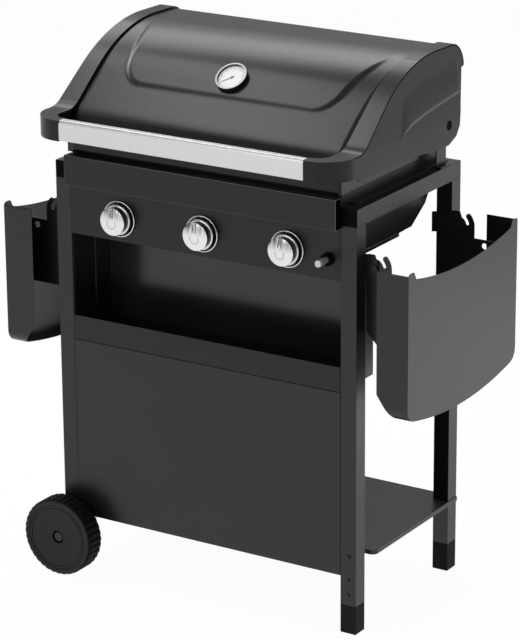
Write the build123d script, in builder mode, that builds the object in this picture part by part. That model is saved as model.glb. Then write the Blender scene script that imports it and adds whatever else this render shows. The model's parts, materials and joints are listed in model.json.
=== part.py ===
from build123d import *
from math import cos, sin, tan, radians
import os

os.makedirs("parts", exist_ok=True)

# Driving dimensions, in millimetres. Front is -Y, +Z is up, the floor is Z = 0.
# Depths are counted backwards from the front faces of the legs.

# Cart frame
tube = 35.0                 # outside of the square tube of legs and rails
tube_wall = 1.5
cart_width = 700.0          # over the legs
cart_depth = 410.0          # over the legs
rail_top = 877.0            # top of the rails
plug_plate = 2.0            # end plate of a rail plug
plug_depth = 15.0           # how far a plug goes into its tube
plug_fit = 0.15             # play of a plug in its tube, per side
foot_height = 60.0          # foot cap under a right leg
left_leg_bottom = 56.0      # lower end of the left legs

# Wheels
wheel_dia = 165.0
wheel_width = 46.0
wheel_gap = 12.0            # from the leg to the wheel
axle_dia = 10.0
run_clear = 0.05            # radial play of a running pin
lug_count = 36
lug_depth = 2.6
hub_dia = 34.0
hub_recess_dia = 27.0
hub_recess_depth = 14.0
axle_cap_dia = 20.0
cap_share = 0.6             # depth of an axle end cap, of the hub recess
axle_share = 0.7            # axle inside its end cap, of the cap's depth
lug_half = 0.34             # half of a lug's face, of the lug spacing
lug_foot = 0.42             # where a lug's flank ends, of the lug spacing
dish_share = 0.88           # shallow dish of the outer face, of the wheel's radius
dish_depth = 2.8
back_share = 0.8            # hollow back, of the wheel's radius
web_share = 0.55            # depth of the hollow back, of the wheel's width

# Sheet metal
sheet = 1.2
play = 0.3                  # play between neighbouring sheets

# Front, from the bottom up
shelf_top = 155.0
shelf_lip = 10.0
shelf_step = 72.0           # depth where the shelf widens behind the front legs
shelf_corner = 14.0
panel_bottom = 121.0
panel_top = 504.0
apron_top = 556.0
control_bottom = 729.5
fascia_bottom = 835.0
fascia_top = 896.0
fascia_reach = 20.0         # fascia in front of the legs
recess_depth = 124.0
recess_fold = 47.0          # thicker rear part of the recess sides
flange = 18.0               # return flange of the panels

# Knobs, valves and igniter
knob_pitch = 196.0
knob_z = 777.0
knob_dia = 54.0
knob_face_dia = 57.0
knob_front = 31.0           # knob face in front of the panel
knob_face_depth = 5.0
knob_push = 3.0             # travel when a knob is pressed
knob_rest_gap = 4.0         # from knob to bezel at rest
bezel_dia = 75.0
bezel_depth = 4.5
stem_dia = 8.0
stem_flat = 1.2             # depth of the flat on a stem
grip_width = 9.0
grip_depth = 2.5
grip_start = 9.1            # grip notch from the knob's middle
valve_dia = 24.0            # side of a valve body
valve_flange = 34.0
valve_length = 40.0
stem_share = 0.6            # stem inside its valve, of the valve's length
nozzle_share = 0.62         # nozzle's place, of the valve's length
manifold = 22.0             # outside of the square manifold tube
hose_dia = 8.0              # hose inlet, for a hose of this bore
hose_length = 24.0
hose_bore = 4.8
inlet_nut_dia = 18.5
nozzle_dia = 8.0
nozzle_length = 16.0
burner_rise = 29.0          # burner axis above the valve axis
igniter_x = 287.0
igniter_z = 771.0
igniter_collar_dia = 22.0
igniter_collar_depth = 6.3
igniter_barrel_dia = 16.7
igniter_dia = 12.0
igniter_tip_dia = 14.0
igniter_reach = 40.0        # button in front of the panel
igniter_push = 8.0
igniter_body_length = 60.0
igniter_bore = 42.0         # bore for the button, behind the panel
electrode_side = 7.0        # side of a square ceramic electrode
electrode_out = 21.0        # electrode in front of the firebox wall
electrode_length = 56.0
hex_sides = 6

# Firebox, with depths behind the legs' front
firebox_wall = 3.0
firebox_gap = 1.5           # to the rails
firebox_front = 8.0
firebox_rear = 389.0
firebox_top = 898.0
firebox_floor = 768.0
firebox_front_bend = 850.0  # height where the front wall starts to slope
firebox_floor_front = 104.0
firebox_floor_rear = 276.0
firebox_knee_depth = 331.0
firebox_knee_z = 803.0
firebox_rear_bend = 884.0
guard_top = 1000.0          # raised rear wall
guard_inset = 12.0
rail_flange = 16.0          # firebox flange on each rail
ledge = 12.0
tamer_z = 834.0
tamer_width = 120.0
tamer_rise = 34.0
grate_z = 868.0
grate_height = 8.0
grate_bar = 6.0
grate_slots = 16
burner_dia = 26.0
burner_wall = 2.0
burner_mouth = 40.0         # depth of the burner's open front end
port_count = 3
port_low = 0.35             # lower edge of a port above the axis, of the burner's radius
port_high = 0.75

# Grease tray
tray_front = 100.0
tray_rear = 262.0
tray_width = 588.0
tray_bottom = 748.0
tray_lip = 10.0
runner_drop = 6.0

# Lid, with depths behind the legs' front
handle_reach = 82.0         # handle face in front of the legs
handle_lift = 2.0           # handle above the nose's lower edge
handle_height = 41.0
handle_depth = 18.0
handle_bevel = 7.0          # height of the bevelled edge
handle_bevel_depth = 4.2
handle_wall = 2.5
nose_bottom = 943.0
nose_height = 42.0
nose_width = 75.0           # from the handle's end to the cap's side
nose_flat = 10.0            # straight front of the nose beside its rounded corner
nose_back = 58.0            # back of the nose's inner part, in front of the legs
nose_lip = 4.0              # straight back of the nose beside its inner rounding
nose_hollow = 30.0
lid_clear = 3.5             # lid sheet's ends beside the firebox
rim_overlap = 5.0           # end cap over the sheet's end
rim_width = 44.0            # end cap, rim to side, at the height of the nose top
cap_lean = 4.2              # lean of the cap side, in degrees
cap_wall = 3.5
cap_bottom = 935.0
cap_notch = 21.0            # rear edge of the cap's side in front of the rim's
cap_notch_foot = 24.5
cap_heel = 30.0             # lower rear corner of the cap behind the hinge
cap_heel_drop = 28.0
cap_drop = 40.0             # lowest edge of the cap below the hinge
cap_tail = 175.0            # where the lower edge starts to fall, in front of the hinge
slope_foot = 15.0           # depth where the rim's slope would meet the nose top
slope_deg = 38.2
lid_rise = 139.0            # top of the rim above the nose
lid_fall = 7.0              # fall of the top towards the rear
lid_rear = 417.5
rim_drop = 46.0             # rear of the rim below the top
rim_step = 4.0              # rim above the sheet
back_round_share = 0.98     # rim's rear rounding, of its drop
lid_sheet = 1.5
lid_bottom = 900.0
lid_front = -2.0
wall_behind_hinge = 56.0    # rear edge of the lid's end walls, behind the hinge
wall_behind_low = 31.5      # the same at the lid's lower edge
swing_clear = 14.0          # rear edge of the open lid behind the firebox
foot_round = 55.0           # rim, nose to slope
brow_round = 330.0          # rim, slope to top
front_round = 75.0          # sheet, front to slope
panel_height = 5.0          # raised panel on the lid
panel_foot = 82.0           # depth of the raised panel's lower edge
panel_bend = 134.0          # depth where it starts to run out
panel_end = 268.0           # depth where it has run out
panel_half = 236.0
panel_flare = 0.27          # widening of the panel per depth
panel_round = 45.0
hinge_depth = 349.0
hinge_z = 963.0
hinge_pin_dia = 8.0
hinge_head_dia = 14.0
hinge_boss_dia = 22.4
hinge_plate = 3.0
hinge_plate_gap = 20.0      # bracket plate inside the cap's side
hinge_plate_width = 38.0

# Thermometer
thermo_depth = 114.0
thermo_dia = 66.0
thermo_height = 8.0
thermo_rim = 4.0
glass_thick = 1.5
dial_thick = 1.0
needle_length = 21.0
needle_tail = 5.9
needle_thick = 0.6
needle_width = 1.5
needle_hub = 3.0            # radius of the needle's hub
needle_hub_sides = 8
needle_deg = 219.0          # direction of the needle at rest
probe_dia = 7.0
probe_length = 45.0

# Side tables, shown folded down
table_x = 472.0             # outer face of a folded table
table_depth = 440.0
table_skirt = 69.0
table_bow_skirt = 34.0
table_ear_top = 773.0
table_ear = 22.0
ear_slant = 7.7
table_scoop_side = 757.0
table_scoop_mid = 737.0
table_corner_z = 478.0
table_bow_z = 450.0
table_corner = 28.0
skirt_cut_top = 45.0        # where the skirt starts to narrow, above the bowed end's corners
skirt_knee = 8.4            # width of the bend at the narrow skirt
skirt_bend = 5.6            # half height of that bend
table_ear_round = 8.0
pivot_x = 368.0
pivot_z = 756.0
pivot_dia = 8.0
pivot_head = 15.0
arm = 2.5
arm_gap = 0.4
bracket = 3.0
tray_clear = 2.0            # table brackets beside the tray's lip
latch_radius = 21.0         # latch pin from the pivot
latch_deg = 104.0
latch_dia = 6.0
slot_width = 7.4
hook_radius = 36.0
hook_span = 27.0            # hook over the slot's end, in degrees
arm_bottom = 597.0
arm_neck = 23.4             # neck of an arm below the pivot
arm_heel = 0.84             # straight rear edge of an arm, of its drop
arm_hole_share = 0.58       # place of an arm's hole, of its reach
hook_root_deg = -15.0
slot_end_deg = 150.0        # open end of the slot
arm_hole_dia = 13.0

# Screws
screw_dia = 9.0
screw_head = 2.5
screw_heights = (163.0, 113.0)
foot_screw_z = 82.0         # a further one on the right leg, above its foot cap

# Derived positions
wheel_reach = wheel_gap + wheel_width
front_y = (handle_reach - cart_depth - wheel_reach) / 2
rear_y = front_y + cart_depth
mid_y = (front_y + rear_y) / 2
half_depth = cart_depth / 2
leg_x = cart_width / 2 - tube / 2
inner_x = cart_width / 2 - tube
outer_x = cart_width / 2
leg_top = rail_top - tube
tube_bore = tube - 2 * tube_wall
wheel_radius = wheel_dia / 2
axle_radius = axle_dia / 2
axle_z = wheel_radius
slope = tan(radians(slope_deg))
slope_cos = cos(radians(slope_deg))
slope_sin = sin(radians(slope_deg))
burner_z = knob_z + burner_rise
firebox_half = inner_x - firebox_gap
lid_half = firebox_half + lid_clear
rim_inner_x = lid_half - rim_overlap
cap_x = rim_inner_x + rim_width                 # end cap side at the height of the nose top
handle_half = cap_x - nose_width                # half length of the handle bar
nose_round = nose_width - nose_flat
nose_inner_round = rim_inner_x - handle_half - nose_lip
nose_top = nose_bottom + nose_height
handle_bottom = nose_bottom + handle_lift
lid_top = nose_top + lid_rise
lid_top_rear = lid_top - lid_fall
rim_end = lid_top_rear - rim_drop
back_round = rim_drop * back_round_share         # rim, top to back
lid_rear_bottom = hinge_z + firebox_rear - hinge_depth + swing_clear
hinge_plate_x = cap_x - hinge_plate_gap
bracket_inner_x = tray_width / 2 + tray_lip + tray_clear
panel_half_x = inner_x - play
knob_spots = (("left", -knob_pitch), ("middle", 0.0), ("right", knob_pitch))


def behind(depth):
    """Y at a depth behind the front faces of the legs."""
    return front_y + depth


def side_plane(x):
    """Plane across the part: local x is Y, local y is Z."""
    return Plane.YZ.offset(x)


def front_plane(y):
    """Plane facing the front: local x is X, local y is Z, it extrudes to -Y."""
    return Plane.XZ.offset(-y)


def level(z):
    """Plane at a height."""
    return Plane.XY.offset(z)


def yz(points):
    """Depth and height pairs as points on a side plane."""
    return [(behind(depth), z) for depth, z in points]


def save(piece, label):
    """Name a piece and write it."""
    piece.label = label
    export_step(piece, f"parts/{label}.step")


def closed_face(points, mode=Mode.ADD):
    """Face inside a closed line through points."""
    with BuildLine() as edge_line:
        Polyline(*points, close=True)
    return make_face(edge_line.edges(), mode=mode)


def slab(x0, x1, y0, y1, z0, z1, mode=Mode.ADD):
    """Block between six faces."""
    with Locations(((x0 + x1) / 2, (y0 + y1) / 2, (z0 + z1) / 2)):
        Box(abs(x1 - x0), abs(y1 - y0), abs(z1 - z0), mode=mode)


def rod_y(x, z, y0, y1, radius, mode=Mode.ADD):
    """Round bar along Y."""
    with Locations(Location((x, (y0 + y1) / 2, z), (90, 0, 0))):
        Cylinder(radius, abs(y1 - y0), mode=mode)


def rod_x(y, z, x0, x1, radius, mode=Mode.ADD):
    """Round bar along X."""
    with Locations(Location(((x0 + x1) / 2, y, z), (0, 90, 0))):
        Cylinder(radius, abs(x1 - x0), mode=mode)


# Legs, rails, plugs and feet
for side, side_name in ((-1, "left"), (1, "right")):
    for leg_y, row_name in ((front_y + tube / 2, "front"), (rear_y - tube / 2, "rear")):
        leg_bottom = left_leg_bottom if side < 0 else foot_height
        with BuildPart() as leg:
            with BuildSketch(level(leg_bottom)):
                with Locations((side * leg_x, leg_y)):
                    Rectangle(tube, tube)
                    Rectangle(tube_bore, tube_bore, mode=Mode.SUBTRACT)
            extrude(amount=leg_top - leg_bottom)
            if side < 0:
                rod_y(-leg_x, axle_z, leg_y - tube, leg_y + tube, axle_radius + run_clear, Mode.SUBTRACT)
        save(leg.part, f"{row_name}_{side_name}_leg")
    with BuildPart() as rail:
        with BuildSketch(front_plane(front_y + plug_plate)):
            with Locations((side * leg_x, rail_top - tube / 2)):
                Rectangle(tube, tube)
                Rectangle(tube_bore, tube_bore, mode=Mode.SUBTRACT)
        extrude(amount=-(cart_depth - 2 * plug_plate))
    save(rail.part, f"{side_name}_rail")

plug_side = tube_bore - 2 * plug_fit
with BuildPart() as rail_plugs:
    for side in (-1, 1):
        for end_y, inward in ((front_y, 1), (rear_y, -1)):
            x = side * leg_x
            z = rail_top - tube / 2
            plate_y = end_y + inward * plug_plate
            slab(x - tube / 2, x + tube / 2, end_y, plate_y, z - tube / 2, z + tube / 2)
            slab(x - plug_side / 2, x + plug_side / 2, plate_y, plate_y + inward * plug_depth,
                 z - plug_side / 2, z + plug_side / 2)
save(rail_plugs.part, "rail_plugs")

with BuildPart() as foot_caps:
    for leg_y in (front_y + tube / 2, rear_y - tube / 2):
        slab(leg_x - tube / 2, leg_x + tube / 2, leg_y - tube / 2, leg_y + tube / 2, 0, foot_height)
        slab(leg_x - plug_side / 2, leg_x + plug_side / 2, leg_y - plug_side / 2, leg_y + plug_side / 2,
             foot_height, foot_height + plug_depth)
save(foot_caps.part, "foot_caps")

# Axle, its end caps and the two wheels. The wheel section is drawn from its inner face outwards.
hub_floor = wheel_width - hub_recess_depth
cap_depth = hub_recess_depth * cap_share
axle_end = wheel_gap + hub_floor + cap_depth * axle_share
with BuildPart() as axle:
    rod_y(-leg_x, axle_z, front_y - axle_end, rear_y + axle_end, axle_radius)
save(axle.part, "axle")

with BuildPart() as axle_caps:
    for end_y, outward in ((front_y, -1), (rear_y, 1)):
        cap_start = end_y + outward * (wheel_gap + hub_floor + play)
        cap_finish = end_y + outward * (wheel_gap + hub_floor + cap_depth)
        rod_y(-leg_x, axle_z, cap_start, cap_finish, axle_cap_dia / 2)
        rod_y(-leg_x, axle_z, cap_start, end_y + outward * axle_end, axle_radius, Mode.SUBTRACT)
save(axle_caps.part, "axle_caps")

bore_radius = axle_radius + run_clear
hub_radius = hub_dia / 2
recess_radius = hub_recess_dia / 2
dish_radius = wheel_radius * dish_share
back_radius = wheel_radius * back_share
web_back = wheel_width * web_share
lug_step = 360.0 / lug_count
lug_radius = wheel_radius / cos(radians(lug_step * lug_half))
groove_radius = lug_radius - lug_depth
lug_corners = (
    (-lug_half, lug_radius), (lug_half, lug_radius), (lug_foot, groove_radius), (1 - lug_foot, groove_radius))
lug_ring = []
for lug in range(lug_count):
    for share, radius in lug_corners:
        lug_angle = radians(-90 + (lug + share) * lug_step)
        lug_ring.append((radius * cos(lug_angle) - leg_x, radius * sin(lug_angle) + axle_z))
lowest = min(z for x, z in lug_ring)
lug_ring = [(x, z - lowest) for x, z in lug_ring]
for end_y, outward, wheel_name in ((front_y, -1, "front_wheel"), (rear_y, 1, "rear_wheel")):
    wheel_start = end_y + outward * wheel_gap
    wheel_end = wheel_start + outward * wheel_width
    with BuildPart() as wheel:
        with BuildSketch(front_plane(wheel_start)):
            closed_face(lug_ring)
        extrude(amount=-outward * wheel_width)
        dish_y = wheel_end - outward * dish_depth
        web_y = wheel_start + outward * web_back
        recess_y = wheel_start + outward * hub_floor
        before = wheel_start - outward
        beyond = wheel_end + outward
        rod_y(-leg_x, axle_z, dish_y, beyond, dish_radius, Mode.SUBTRACT)
        rod_y(-leg_x, axle_z, before, web_y, back_radius, Mode.SUBTRACT)
        rod_y(-leg_x, axle_z, wheel_start, dish_y, hub_radius)
        rod_y(-leg_x, axle_z, recess_y, beyond, recess_radius, Mode.SUBTRACT)
        rod_y(-leg_x, axle_z, before, beyond, bore_radius, Mode.SUBTRACT)
    save(wheel.part, wheel_name)

# Bottom shelf: a folded tray, wide behind the front legs and open round the rear legs
shelf_half = outer_x + play + sheet
shelf_rear = cart_depth + play + sheet
leg_play = tube / 2 + play
shelf_outline = [
    (-panel_half_x, play + 2 * sheet), (panel_half_x, play + 2 * sheet), (panel_half_x, shelf_step),
    (shelf_half, shelf_step), (shelf_half, shelf_rear), (-shelf_half, shelf_rear),
    (-shelf_half, shelf_step), (-panel_half_x, shelf_step),
]


def at_wide_front(vertex):
    """The two outer front corners of the shelf's wide part."""
    return abs(abs(vertex.X) - shelf_half) < play and abs(vertex.Y - behind(shelf_step)) < play


def shelf_plan():
    """Shelf seen from above, with those corners rounded."""
    plan = closed_face([(x, behind(depth)) for x, depth in shelf_outline])
    fillet(plan.vertices().filter_by(at_wide_front), radius=shelf_corner)


with BuildPart() as bottom_shelf:
    with BuildSketch(level(shelf_top - shelf_lip)):
        shelf_plan()
    extrude(amount=shelf_lip)
    with BuildSketch(level(shelf_top - shelf_lip)):
        shelf_plan()
        offset(amount=-sheet, kind=Kind.INTERSECTION)
    extrude(amount=shelf_lip - sheet, mode=Mode.SUBTRACT)
    for side in (-1, 1):
        slab(side * (leg_x - leg_play), side * (leg_x + leg_play), rear_y - tube - play, rear_y + play,
             shelf_top - shelf_lip - sheet, shelf_top + sheet, Mode.SUBTRACT)
save(bottom_shelf.part, "bottom_shelf")


def folded_panel(bottom, top, back_flange):
    """Sheet between the front legs with flanges folded back on all four edges."""
    slab(-panel_half_x, panel_half_x, front_y, front_y + back_flange, bottom, top)
    slab(-panel_half_x + sheet, panel_half_x - sheet, front_y + sheet, front_y + back_flange + sheet,
         bottom + sheet, top - sheet, Mode.SUBTRACT)


with BuildPart() as front_panel:
    folded_panel(panel_bottom, panel_top - play, flange)
    slab(-panel_half_x - sheet, panel_half_x + sheet, behind(sheet), behind(flange + sheet),
         shelf_top - shelf_lip - play, shelf_top + play, Mode.SUBTRACT)
save(front_panel.part, "front_panel")

# Storage recess: shelf with apron, back and two sides
shelf_floor = panel_top + sheet
with BuildPart() as storage_shelf:
    slab(-panel_half_x, panel_half_x, front_y, behind(sheet), panel_top, apron_top)
    slab(-panel_half_x, panel_half_x, front_y, behind(recess_depth), panel_top, shelf_floor)
    slab(-panel_half_x, panel_half_x, behind(recess_depth - sheet), behind(recess_depth),
         panel_top, shelf_floor + flange)
save(storage_shelf.part, "storage_shelf")

recess_top = control_bottom + sheet
with BuildPart() as recess_back:
    slab(-panel_half_x, panel_half_x, behind(recess_depth), behind(recess_depth + sheet),
         panel_top, recess_top)
    slab(-panel_half_x, panel_half_x, behind(recess_depth), behind(recess_depth + flange),
         recess_top - sheet, recess_top)
save(recess_back.part, "recess_back")

with BuildPart() as recess_sides:
    for side in (-1, 1):
        side_x = side * panel_half_x
        side_in = side * (panel_half_x - sheet)
        slab(side_x, side_in, behind(2 * sheet), behind(recess_depth - sheet - play),
             shelf_floor + play, control_bottom - play)
        fold_x = side * (panel_half_x - sheet * 3)
        slab(side_x, fold_x, behind(recess_depth - recess_fold), behind(recess_depth - sheet - play),
             shelf_floor + play, control_bottom - play)
save(recess_sides.part, "recess_sides")

# Control panel, fascia and knob bezels
control_top = fascia_top - 2 * sheet
stem_hole = stem_dia / 2 + 2
barrel_radius = igniter_barrel_dia / 2
with BuildPart() as control_panel:
    folded_panel(control_bottom, control_top, flange)
    slab(-panel_half_x + sheet, panel_half_x - sheet, behind(sheet), behind(flange + sheet),
         fascia_bottom, control_top + sheet, Mode.SUBTRACT)
    for name, x in knob_spots:
        rod_y(x, knob_z, front_y - sheet, behind(2 * sheet), stem_hole, Mode.SUBTRACT)
    rod_y(igniter_x, igniter_z, front_y - sheet, behind(2 * sheet), barrel_radius + play, Mode.SUBTRACT)
save(control_panel.part, "control_panel")

fascia_section = [
    (0, fascia_bottom), (-fascia_reach, fascia_bottom), (-fascia_reach, fascia_top), (sheet * 4, fascia_top),
    (sheet * 4, fascia_top - sheet), (-fascia_reach + sheet, fascia_top - sheet),
    (-fascia_reach + sheet, fascia_bottom + sheet), (0, fascia_bottom + sheet),
]
with BuildPart() as fascia:
    with BuildSketch(Plane.YZ):
        closed_face(yz(fascia_section))
    extrude(amount=inner_x, both=True)
save(fascia.part, "fascia")

with BuildPart() as knob_bezels:
    for name, x in knob_spots:
        rod_y(x, knob_z, front_y - bezel_depth, front_y, bezel_dia / 2)
        rod_y(x, knob_z, front_y - 2 * bezel_depth, front_y + 1, stem_hole, Mode.SUBTRACT)
save(knob_bezels.part, "knob_bezels")

# Gas valves, their turning stems, the manifold with the hose inlet
valve_front = behind(sheet)
valve_back = behind(sheet + valve_length)
stem_back = valve_front + valve_length * stem_share
stem_radius = stem_dia / 2
nozzle_y = valve_front + valve_length * nozzle_share
with BuildPart() as gas_valves:
    for name, x in knob_spots:
        slab(x - valve_flange / 2, x + valve_flange / 2, valve_front, valve_front + 4 * sheet,
             knob_z - valve_dia / 2, knob_z + valve_dia / 2)
        slab(x - valve_dia / 2, x + valve_dia / 2, valve_front, valve_back,
             knob_z - valve_dia / 2, knob_z + valve_dia / 2)
        slab(x - nozzle_dia / 2, x + nozzle_dia / 2, nozzle_y - nozzle_dia / 2, nozzle_y + nozzle_dia / 2,
             knob_z, burner_z + nozzle_dia / 2)
        with BuildSketch(front_plane(nozzle_y)):
            with Locations((x, burner_z)):
                RegularPolygon(nozzle_dia / 2, hex_sides)
        extrude(amount=-(nozzle_length + nozzle_dia / 2))
        rod_y(x, knob_z, valve_front - sheet, stem_back + play, stem_radius + run_clear, Mode.SUBTRACT)
save(gas_valves.part, "gas_valves")

manifold_half = knob_pitch + valve_dia
inlet_nut = manifold / 2
with BuildPart() as gas_manifold:
    slab(-manifold_half, manifold_half, valve_back, valve_back + manifold,
         knob_z - manifold / 2, knob_z + manifold / 2)
    slab(-manifold_half + tube_wall, manifold_half - tube_wall, valve_back + tube_wall,
         valve_back + manifold - tube_wall, knob_z - manifold / 2 + tube_wall,
         knob_z + manifold / 2 - tube_wall, Mode.SUBTRACT)
    inlet_y = valve_back + manifold / 2
    rod_x(inlet_y, knob_z, -manifold_half - inlet_nut, -manifold_half, inlet_nut_dia / 2)
    rod_x(inlet_y, knob_z, -manifold_half - inlet_nut - hose_length, -manifold_half, hose_dia / 2)
    rod_x(inlet_y, knob_z, -manifold_half - inlet_nut - hose_length - 1, -manifold_half + 2 * tube_wall,
          hose_bore / 2, Mode.SUBTRACT)
save(gas_manifold.part, "gas_manifold")

knob_back = front_y - bezel_depth - knob_rest_gap
knob_face_y = front_y - knob_front
knob_body_front = knob_face_y + knob_face_depth
stem_front = knob_body_front + knob_push + 2 * sheet
flat_from = stem_radius - stem_flat
for name, x in knob_spots:
    with BuildPart() as stem:
        rod_y(x, knob_z, stem_front, stem_back, stem_radius)
        slab(x - stem_dia, x + stem_dia, stem_front - 1, front_y, knob_z + flat_from,
             knob_z + stem_dia, Mode.SUBTRACT)
    save(stem.part, f"{name}_valve_stem")

    with BuildPart() as knob:
        rod_y(x, knob_z, knob_back, knob_body_front, knob_dia / 2)
        with BuildSketch(front_plane(knob_back)):
            with Locations((x, knob_z)):
                Circle(stem_radius + run_clear)
            with Locations((x, knob_z + flat_from + run_clear + stem_radius)):
                Rectangle(stem_dia * 2, stem_dia, mode=Mode.SUBTRACT)
        extrude(amount=knob_back - knob_body_front - sheet, mode=Mode.SUBTRACT)
    save(knob.part, f"{name}_knob")

    with BuildPart() as knob_face:
        rod_y(x, knob_z, knob_body_front, knob_face_y, knob_face_dia / 2)
        slab(x - grip_width / 2, x + grip_width / 2, knob_face_y - 1, knob_face_y + grip_depth,
             knob_z + grip_start, knob_z + knob_face_dia, Mode.SUBTRACT)
    save(knob_face.part, f"{name}_knob_face")

# Igniter: body with collar, button that is pushed in
bore_end = behind(sheet + igniter_bore)
collar_front = front_y - igniter_collar_depth
button_front = front_y - igniter_reach
igniter_radius = igniter_dia / 2
with BuildPart() as igniter_body:
    with BuildSketch(front_plane(front_y)):
        with Locations((igniter_x, igniter_z)):
            RegularPolygon(igniter_collar_dia / 2, hex_sides)
    extrude(amount=igniter_collar_depth)
    rod_y(igniter_x, igniter_z, front_y, behind(sheet + igniter_body_length), barrel_radius)
    rod_y(igniter_x, igniter_z, collar_front - 1, bore_end, igniter_radius + run_clear, Mode.SUBTRACT)
save(igniter_body.part, "igniter_body")

with BuildPart() as igniter_button:
    rod_y(igniter_x, igniter_z, button_front, bore_end - igniter_push - 2 * sheet, igniter_radius)
    rod_y(igniter_x, igniter_z, button_front, collar_front - igniter_push - 2 * sheet, igniter_tip_dia / 2)
save(igniter_button.part, "igniter_button")

# Firebox
firebox_section = [
    (firebox_front, firebox_top), (firebox_front, firebox_front_bend),
    (firebox_floor_front, firebox_floor), (firebox_floor_rear, firebox_floor),
    (firebox_knee_depth, firebox_knee_z), (firebox_rear, firebox_rear_bend), (firebox_rear, firebox_top),
]
guard_half = firebox_half - guard_inset
burner_radius = burner_dia / 2
electrode_x = burner_radius + electrode_side
electrode_z = burner_z + electrode_side


def front_wall_depth(z):
    """Depth of the outside of the sloping front wall at a height."""
    share = (firebox_front_bend - z) / (firebox_front_bend - firebox_floor)
    return firebox_front + share * (firebox_floor_front - firebox_front)


def rear_wall_depth(z):
    """Depth of the outside of the sloping rear wall at a height."""
    share = (z - firebox_knee_z) / (firebox_rear_bend - firebox_knee_z)
    return firebox_knee_depth + share * (firebox_rear - firebox_knee_depth)


with BuildPart() as firebox:
    with BuildSketch(Plane.YZ):
        closed_face(yz(firebox_section))
    extrude(amount=firebox_half, both=True)
    with BuildSketch(Plane.YZ):
        closed_face(yz(firebox_section))
        offset(amount=-firebox_wall, kind=Kind.INTERSECTION)
        with Locations((behind((firebox_front + firebox_rear) / 2), firebox_top)):
            Rectangle(firebox_rear - firebox_front - 2 * firebox_wall, 4 * firebox_wall)
    extrude(amount=firebox_half - firebox_wall, both=True, mode=Mode.SUBTRACT)
    slab(-guard_half, guard_half, behind(firebox_rear - firebox_wall), behind(firebox_rear),
         firebox_top - firebox_wall, guard_top)
    for side in (-1, 1):
        slab(side * (firebox_half - firebox_wall), side * (inner_x + rail_flange),
             behind(tube), behind(firebox_rear), rail_top, rail_top + firebox_wall)
    ledge_half = firebox_half - firebox_wall / 2
    slab(-ledge_half, ledge_half, behind(firebox_front + firebox_wall / 2),
         behind(firebox_front + firebox_wall + ledge), grate_z - firebox_wall, grate_z)
    rear_ledge = rear_wall_depth(grate_z - firebox_wall) - 2 * firebox_wall
    slab(-ledge_half, ledge_half, behind(rear_ledge - ledge), behind(rear_ledge + firebox_wall),
         grate_z - firebox_wall, grate_z)
    front_step = front_wall_depth(tamer_z) + firebox_wall
    slab(-ledge_half, ledge_half, behind(front_step), behind(front_step + firebox_wall + ledge),
         tamer_z - firebox_wall, tamer_z)
    rear_step = rear_wall_depth(tamer_z) - firebox_wall
    slab(-ledge_half, ledge_half, behind(rear_step - firebox_wall - ledge), behind(rear_step),
         tamer_z - firebox_wall, tamer_z)
    drain_half = tray_width / 2 - 3 * tray_lip
    slab(-drain_half, drain_half,
         behind(firebox_floor_front + 2 * ledge), behind(firebox_floor_rear - 3 * ledge),
         firebox_floor - 1, firebox_floor + firebox_wall + 1, Mode.SUBTRACT)
    wall_y0 = behind(firebox_front)
    wall_y1 = behind(firebox_floor_front)
    electrode_hole = electrode_side / 2 + play / 2
    for name, x in knob_spots:
        rod_y(x, burner_z, wall_y0, wall_y1, burner_radius + play, Mode.SUBTRACT)
        slab(x + electrode_x - electrode_hole, x + electrode_x + electrode_hole, wall_y0, wall_y1,
             electrode_z - electrode_hole, electrode_z + electrode_hole, Mode.SUBTRACT)
save(firebox.part, "firebox")

# Burners with ports, electrodes, flame tamers, grates
knee_share = (burner_z - burner_radius - firebox_floor) / (firebox_knee_z - firebox_floor)
burner_rear = firebox_floor_rear + knee_share * (firebox_knee_depth - firebox_floor_rear) - 3 * firebox_wall
port_pitch = (burner_rear - firebox_floor_front) / (port_count + 1)
for name, x in knob_spots:
    with BuildPart() as burner:
        rod_y(x, burner_z, behind(burner_mouth), behind(burner_rear), burner_radius)
        rod_y(x, burner_z, behind(burner_mouth) - 1, behind(burner_rear - burner_wall),
              burner_radius - burner_wall, Mode.SUBTRACT)
        for port in range(port_count):
            port_y = behind(firebox_floor_front + (port + 1) * port_pitch)
            slab(x - burner_dia, x + burner_dia, port_y - burner_wall / 2, port_y + burner_wall / 2,
                 burner_z + burner_radius * port_low, burner_z + burner_radius * port_high, Mode.SUBTRACT)
    save(burner.part, f"{name}_burner")

electrode_front = front_wall_depth(electrode_z) - electrode_out
electrode_half = electrode_side / 2
with BuildPart() as spark_electrodes:
    for name, x in knob_spots:
        slab(x + electrode_x - electrode_half, x + electrode_x + electrode_half,
             behind(electrode_front), behind(electrode_front + electrode_length),
             electrode_z - electrode_half, electrode_z + electrode_half)
save(spark_electrodes.part, "spark_electrodes")

tamer_front = front_step + 2 * firebox_wall
tamer_rear = rear_step - 2 * firebox_wall
tamer_half = tamer_width / 2
with BuildPart() as flame_tamers:
    with BuildSketch(front_plane(behind(tamer_front))):
        for name, x in knob_spots:
            closed_face([
                (x - tamer_half, tamer_z), (x, tamer_z + tamer_rise), (x + tamer_half, tamer_z),
                (x + tamer_half - 3 * sheet, tamer_z), (x, tamer_z + tamer_rise - 2 * sheet),
                (x - tamer_half + 3 * sheet, tamer_z),
            ])
    extrude(amount=tamer_front - tamer_rear)
save(flame_tamers.part, "flame_tamers")

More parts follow.
